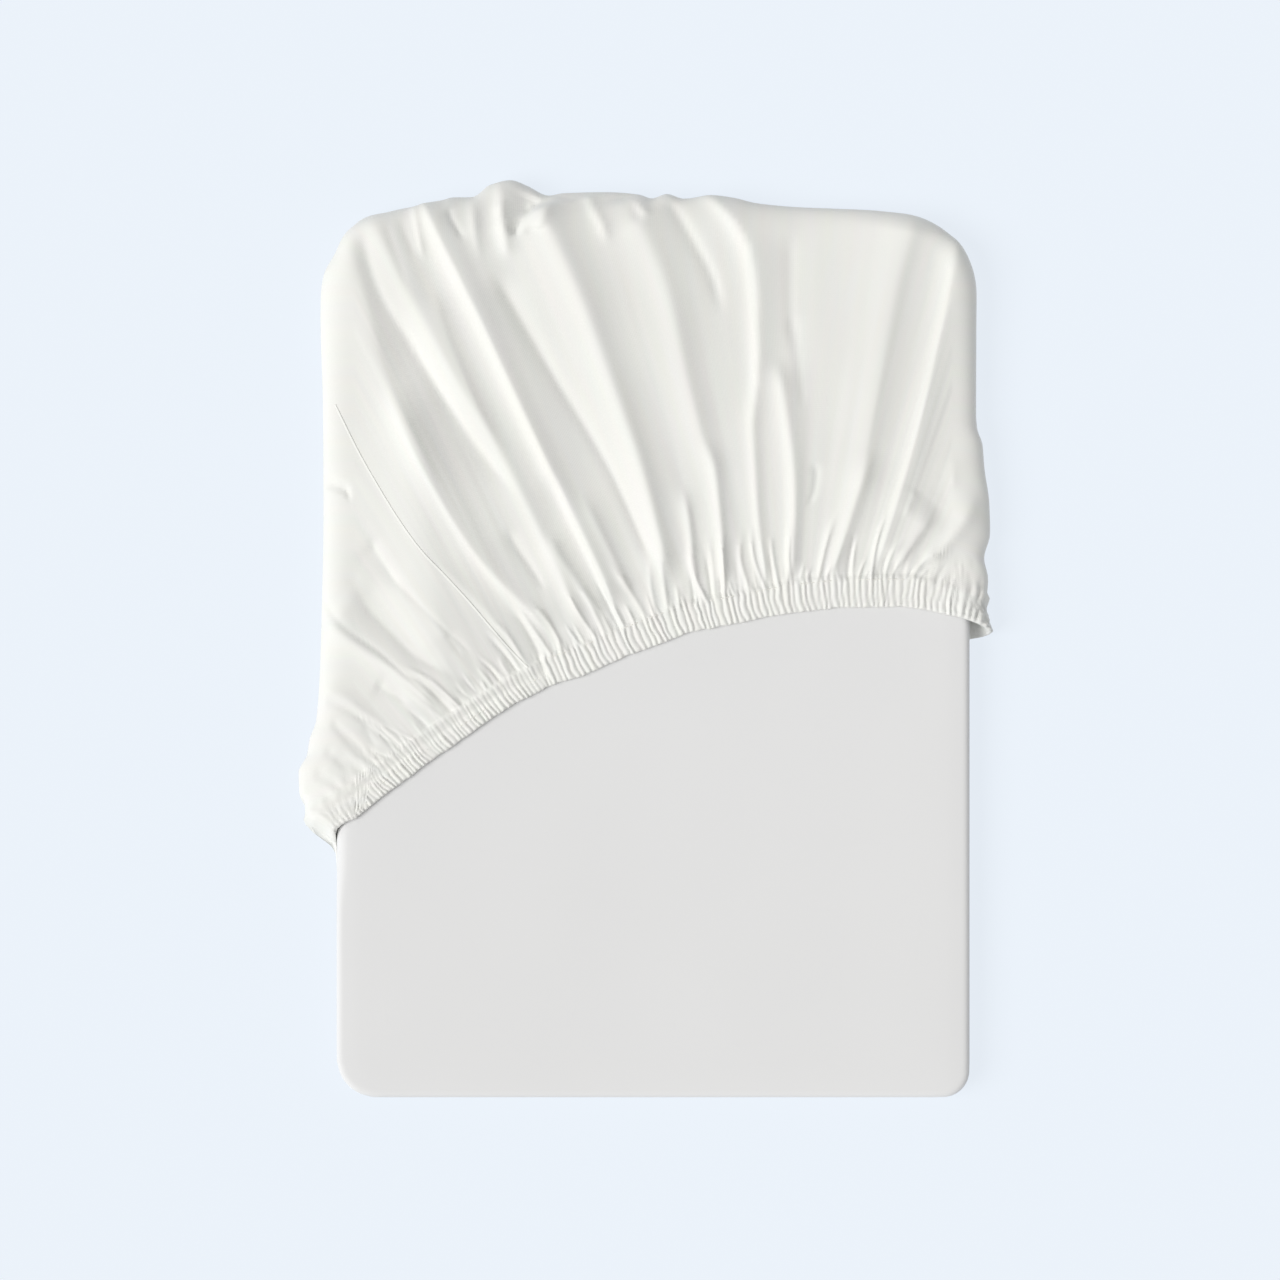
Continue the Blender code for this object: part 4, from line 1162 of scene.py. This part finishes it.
def spindle(first, last, radius, start):
    """A slim thread between two points: its points and faces, numbered from start."""
    axis = (last - first) / np.linalg.norm(last - first)
    side = np.cross(axis, (0.0, 0.0, 1.0))
    side = side / np.linalg.norm(side)
    up = np.cross(side, axis)
    points, faces = [], []
    for share, size in SPINDLE_RINGS:
        for k in range(SPINDLE_SIDES):
            angle = 2 * math.pi * k / SPINDLE_SIDES
            out = radius * size * (math.cos(angle) * side + math.sin(angle) * up)
            points.append(first + (last - first) * share + out)
    for r in range(len(SPINDLE_RINGS) - 1):
        for k in range(SPINDLE_SIDES):
            ring = start + r * SPINDLE_SIDES
            a, b = ring + k, ring + (k + 1) % SPINDLE_SIDES
            faces.append((a, b, b + SPINDLE_SIDES, a + SPINDLE_SIDES))
    last_ring = start + (len(SPINDLE_RINGS) - 1) * SPINDLE_SIDES
    faces.append(tuple(start + k for k in reversed(range(SPINDLE_SIDES))))
    faces.append(tuple(last_ring + k for k in range(SPINDLE_SIDES)))
    return points, faces


def stitch_line(from_at, to_at, off):
    """Stitches along the front hem, `off` mm up from its edge."""
    points, faces = [], []
    for at in np.arange(from_at, to_at, STITCH_PITCH):
        ends = []
        for place in (at, at + STITCH_LENGTH):
            here, there = along_line(FRONT_HEM, [place / hem_length, (place + 0.5) / hem_length])
            ahead = (there - here) / np.hypot(*(there - here))
            ends.append(on_cloth(*(here + off * np.array((-ahead[1], ahead[0])))))
        if ends[0] is None or ends[1] is None:
            continue
        made_points, made_faces = spindle(ends[0], ends[1], THREAD_RADIUS, len(points))
        points += made_points
        faces += made_faces
    return points, faces


def join(parts):
    """One set of points and faces from several."""
    points, faces = [], []
    for part_points, part_faces in parts:
        faces += [tuple(corner + len(points) for corner in face) for face in part_faces]
        points += part_points
    return points, faces


STITCH_OFF = CASING_WIDTH - 1.6     # the line's distance off the hem's edge, right of the joint
SECOND_STITCH_OFF = 5.4             # and left of it, near the first row's upper edge
stitch_parts = join([
    stitch_line(JOINT_AT + 3, hem_length - 4, STITCH_OFF),
    stitch_line(4.0, JOINT_AT - 2, SECOND_STITCH_OFF),
])


def make_thread():
    made, tree, shader = new_material("cotton sewing thread, spun")
    place = add_node(tree, "TexCoord").outputs["Object"]
    twist = noise(tree, place, 1500.0, 1.0)
    tone = blend(tree, "#EFEDE6", "#F6F4EE", twist["Fac"])
    tree.links.new(tone, shader.inputs["Base Color"])
    shader.inputs["Roughness"].default_value = 0.65
    return made


stitches = add_piece("hem_stitches", *stitch_parts, make_thread())
for piece in (seam, stitches):
    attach(piece, "root")
print("stitches:", len(stitch_parts[1]) // (5 * SPINDLE_SIDES + 2))

# %% [markdown]
# ## Floor, light and colour
# The floor is plain and pale blue. Part of its brightness is its own glow, as on a light
# table, so that the sheet hardly casts a shadow on it. A wide soft light stands on the
# left, a little toward the pad's foot, and gives the folds a bright and a dark side. An even
# sky fills in the rest.

# %% Floor
FLOOR_COLOUR = "#ECF3FB"
FLOOR_GLOW = 0.86
FLOOR_PAINT = 0.14
FLOOR_HALF = 6000.0
FLOOR_LEVEL = -0.2          # a little under the sheet, so that the two don't touch


def make_floor_paint():
    made, tree, shader = new_material("pale matt backdrop paper")
    place = add_node(tree, "TexCoord").outputs["Object"]
    grain = noise(tree, place, 900.0)
    tree.links.new(bump(tree, grain["Fac"], 0.02, 0.05), shader.inputs["Normal"])
    colour = linear(FLOOR_COLOUR)
    shader.inputs["Base Color"].default_value = [c * FLOOR_PAINT for c in colour[:3]] + [1]
    shader.inputs["Roughness"].default_value = 1.0
    shader.inputs["Specular IOR Level"].default_value = 0.0
    shader.inputs["Emission Color"].default_value = colour
    shader.inputs["Emission Strength"].default_value = FLOOR_GLOW
    return made


floor_corners = [(x * FLOOR_HALF, y * FLOOR_HALF, FLOOR_LEVEL)
                 for x, y in ((-1, -1), (1, -1), (1, 1), (-1, 1))]
floor = add_piece("floor", floor_corners, [(0, 1, 2, 3)], make_floor_paint())
print("floor", FLOOR_COLOUR)

# %% Light
KEY_STRENGTH = 2.2
KEY_SOFTNESS = math.radians(38)
KEY_ELEVATION = math.radians(46)
KEY_AZIMUTH = math.radians(194)     # 180 is straight from the left, 270 from the foot
SKY_LIGHT = 0.457

key_light = bpy.data.lights.new("key", "SUN")
key_light.energy, key_light.angle = KEY_STRENGTH, KEY_SOFTNESS
key_light.color = (1.0, 0.995, 0.985)
key = bpy.data.objects.new("key", key_light)
key.location = (math.cos(KEY_ELEVATION) * math.cos(KEY_AZIMUTH),
                math.cos(KEY_ELEVATION) * math.sin(KEY_AZIMUTH), math.sin(KEY_ELEVATION))
key.rotation_euler = (-key.location).to_track_quat("-Z", "Y").to_euler()
bpy.context.scene.collection.objects.link(key)

sky = bpy.data.worlds.new("studio")
bpy.context.scene.world = sky
sky.use_nodes = True
tree = sky.node_tree
lighting = tree.nodes["Background"]
lighting.inputs["Color"].default_value = (1.0, 1.0, 1.0, 1.0)
lighting.inputs["Strength"].default_value = SKY_LIGHT
seen = add_node(tree, "Background", {"Color": linear(FLOOR_COLOUR), "Strength": 1.0})
by_eye = add_node(tree, "LightPath").outputs["Is Camera Ray"]
chosen = add_node(tree, "MixShader", None,
                  {0: by_eye, 1: lighting.outputs[0], 2: seen.outputs[0]})
tree.links.new(chosen.outputs[0], tree.nodes["World Output"].inputs["Surface"])
bpy.context.scene.view_settings.view_transform = "Standard"
print("light from", [round(value, 2) for value in key.location])
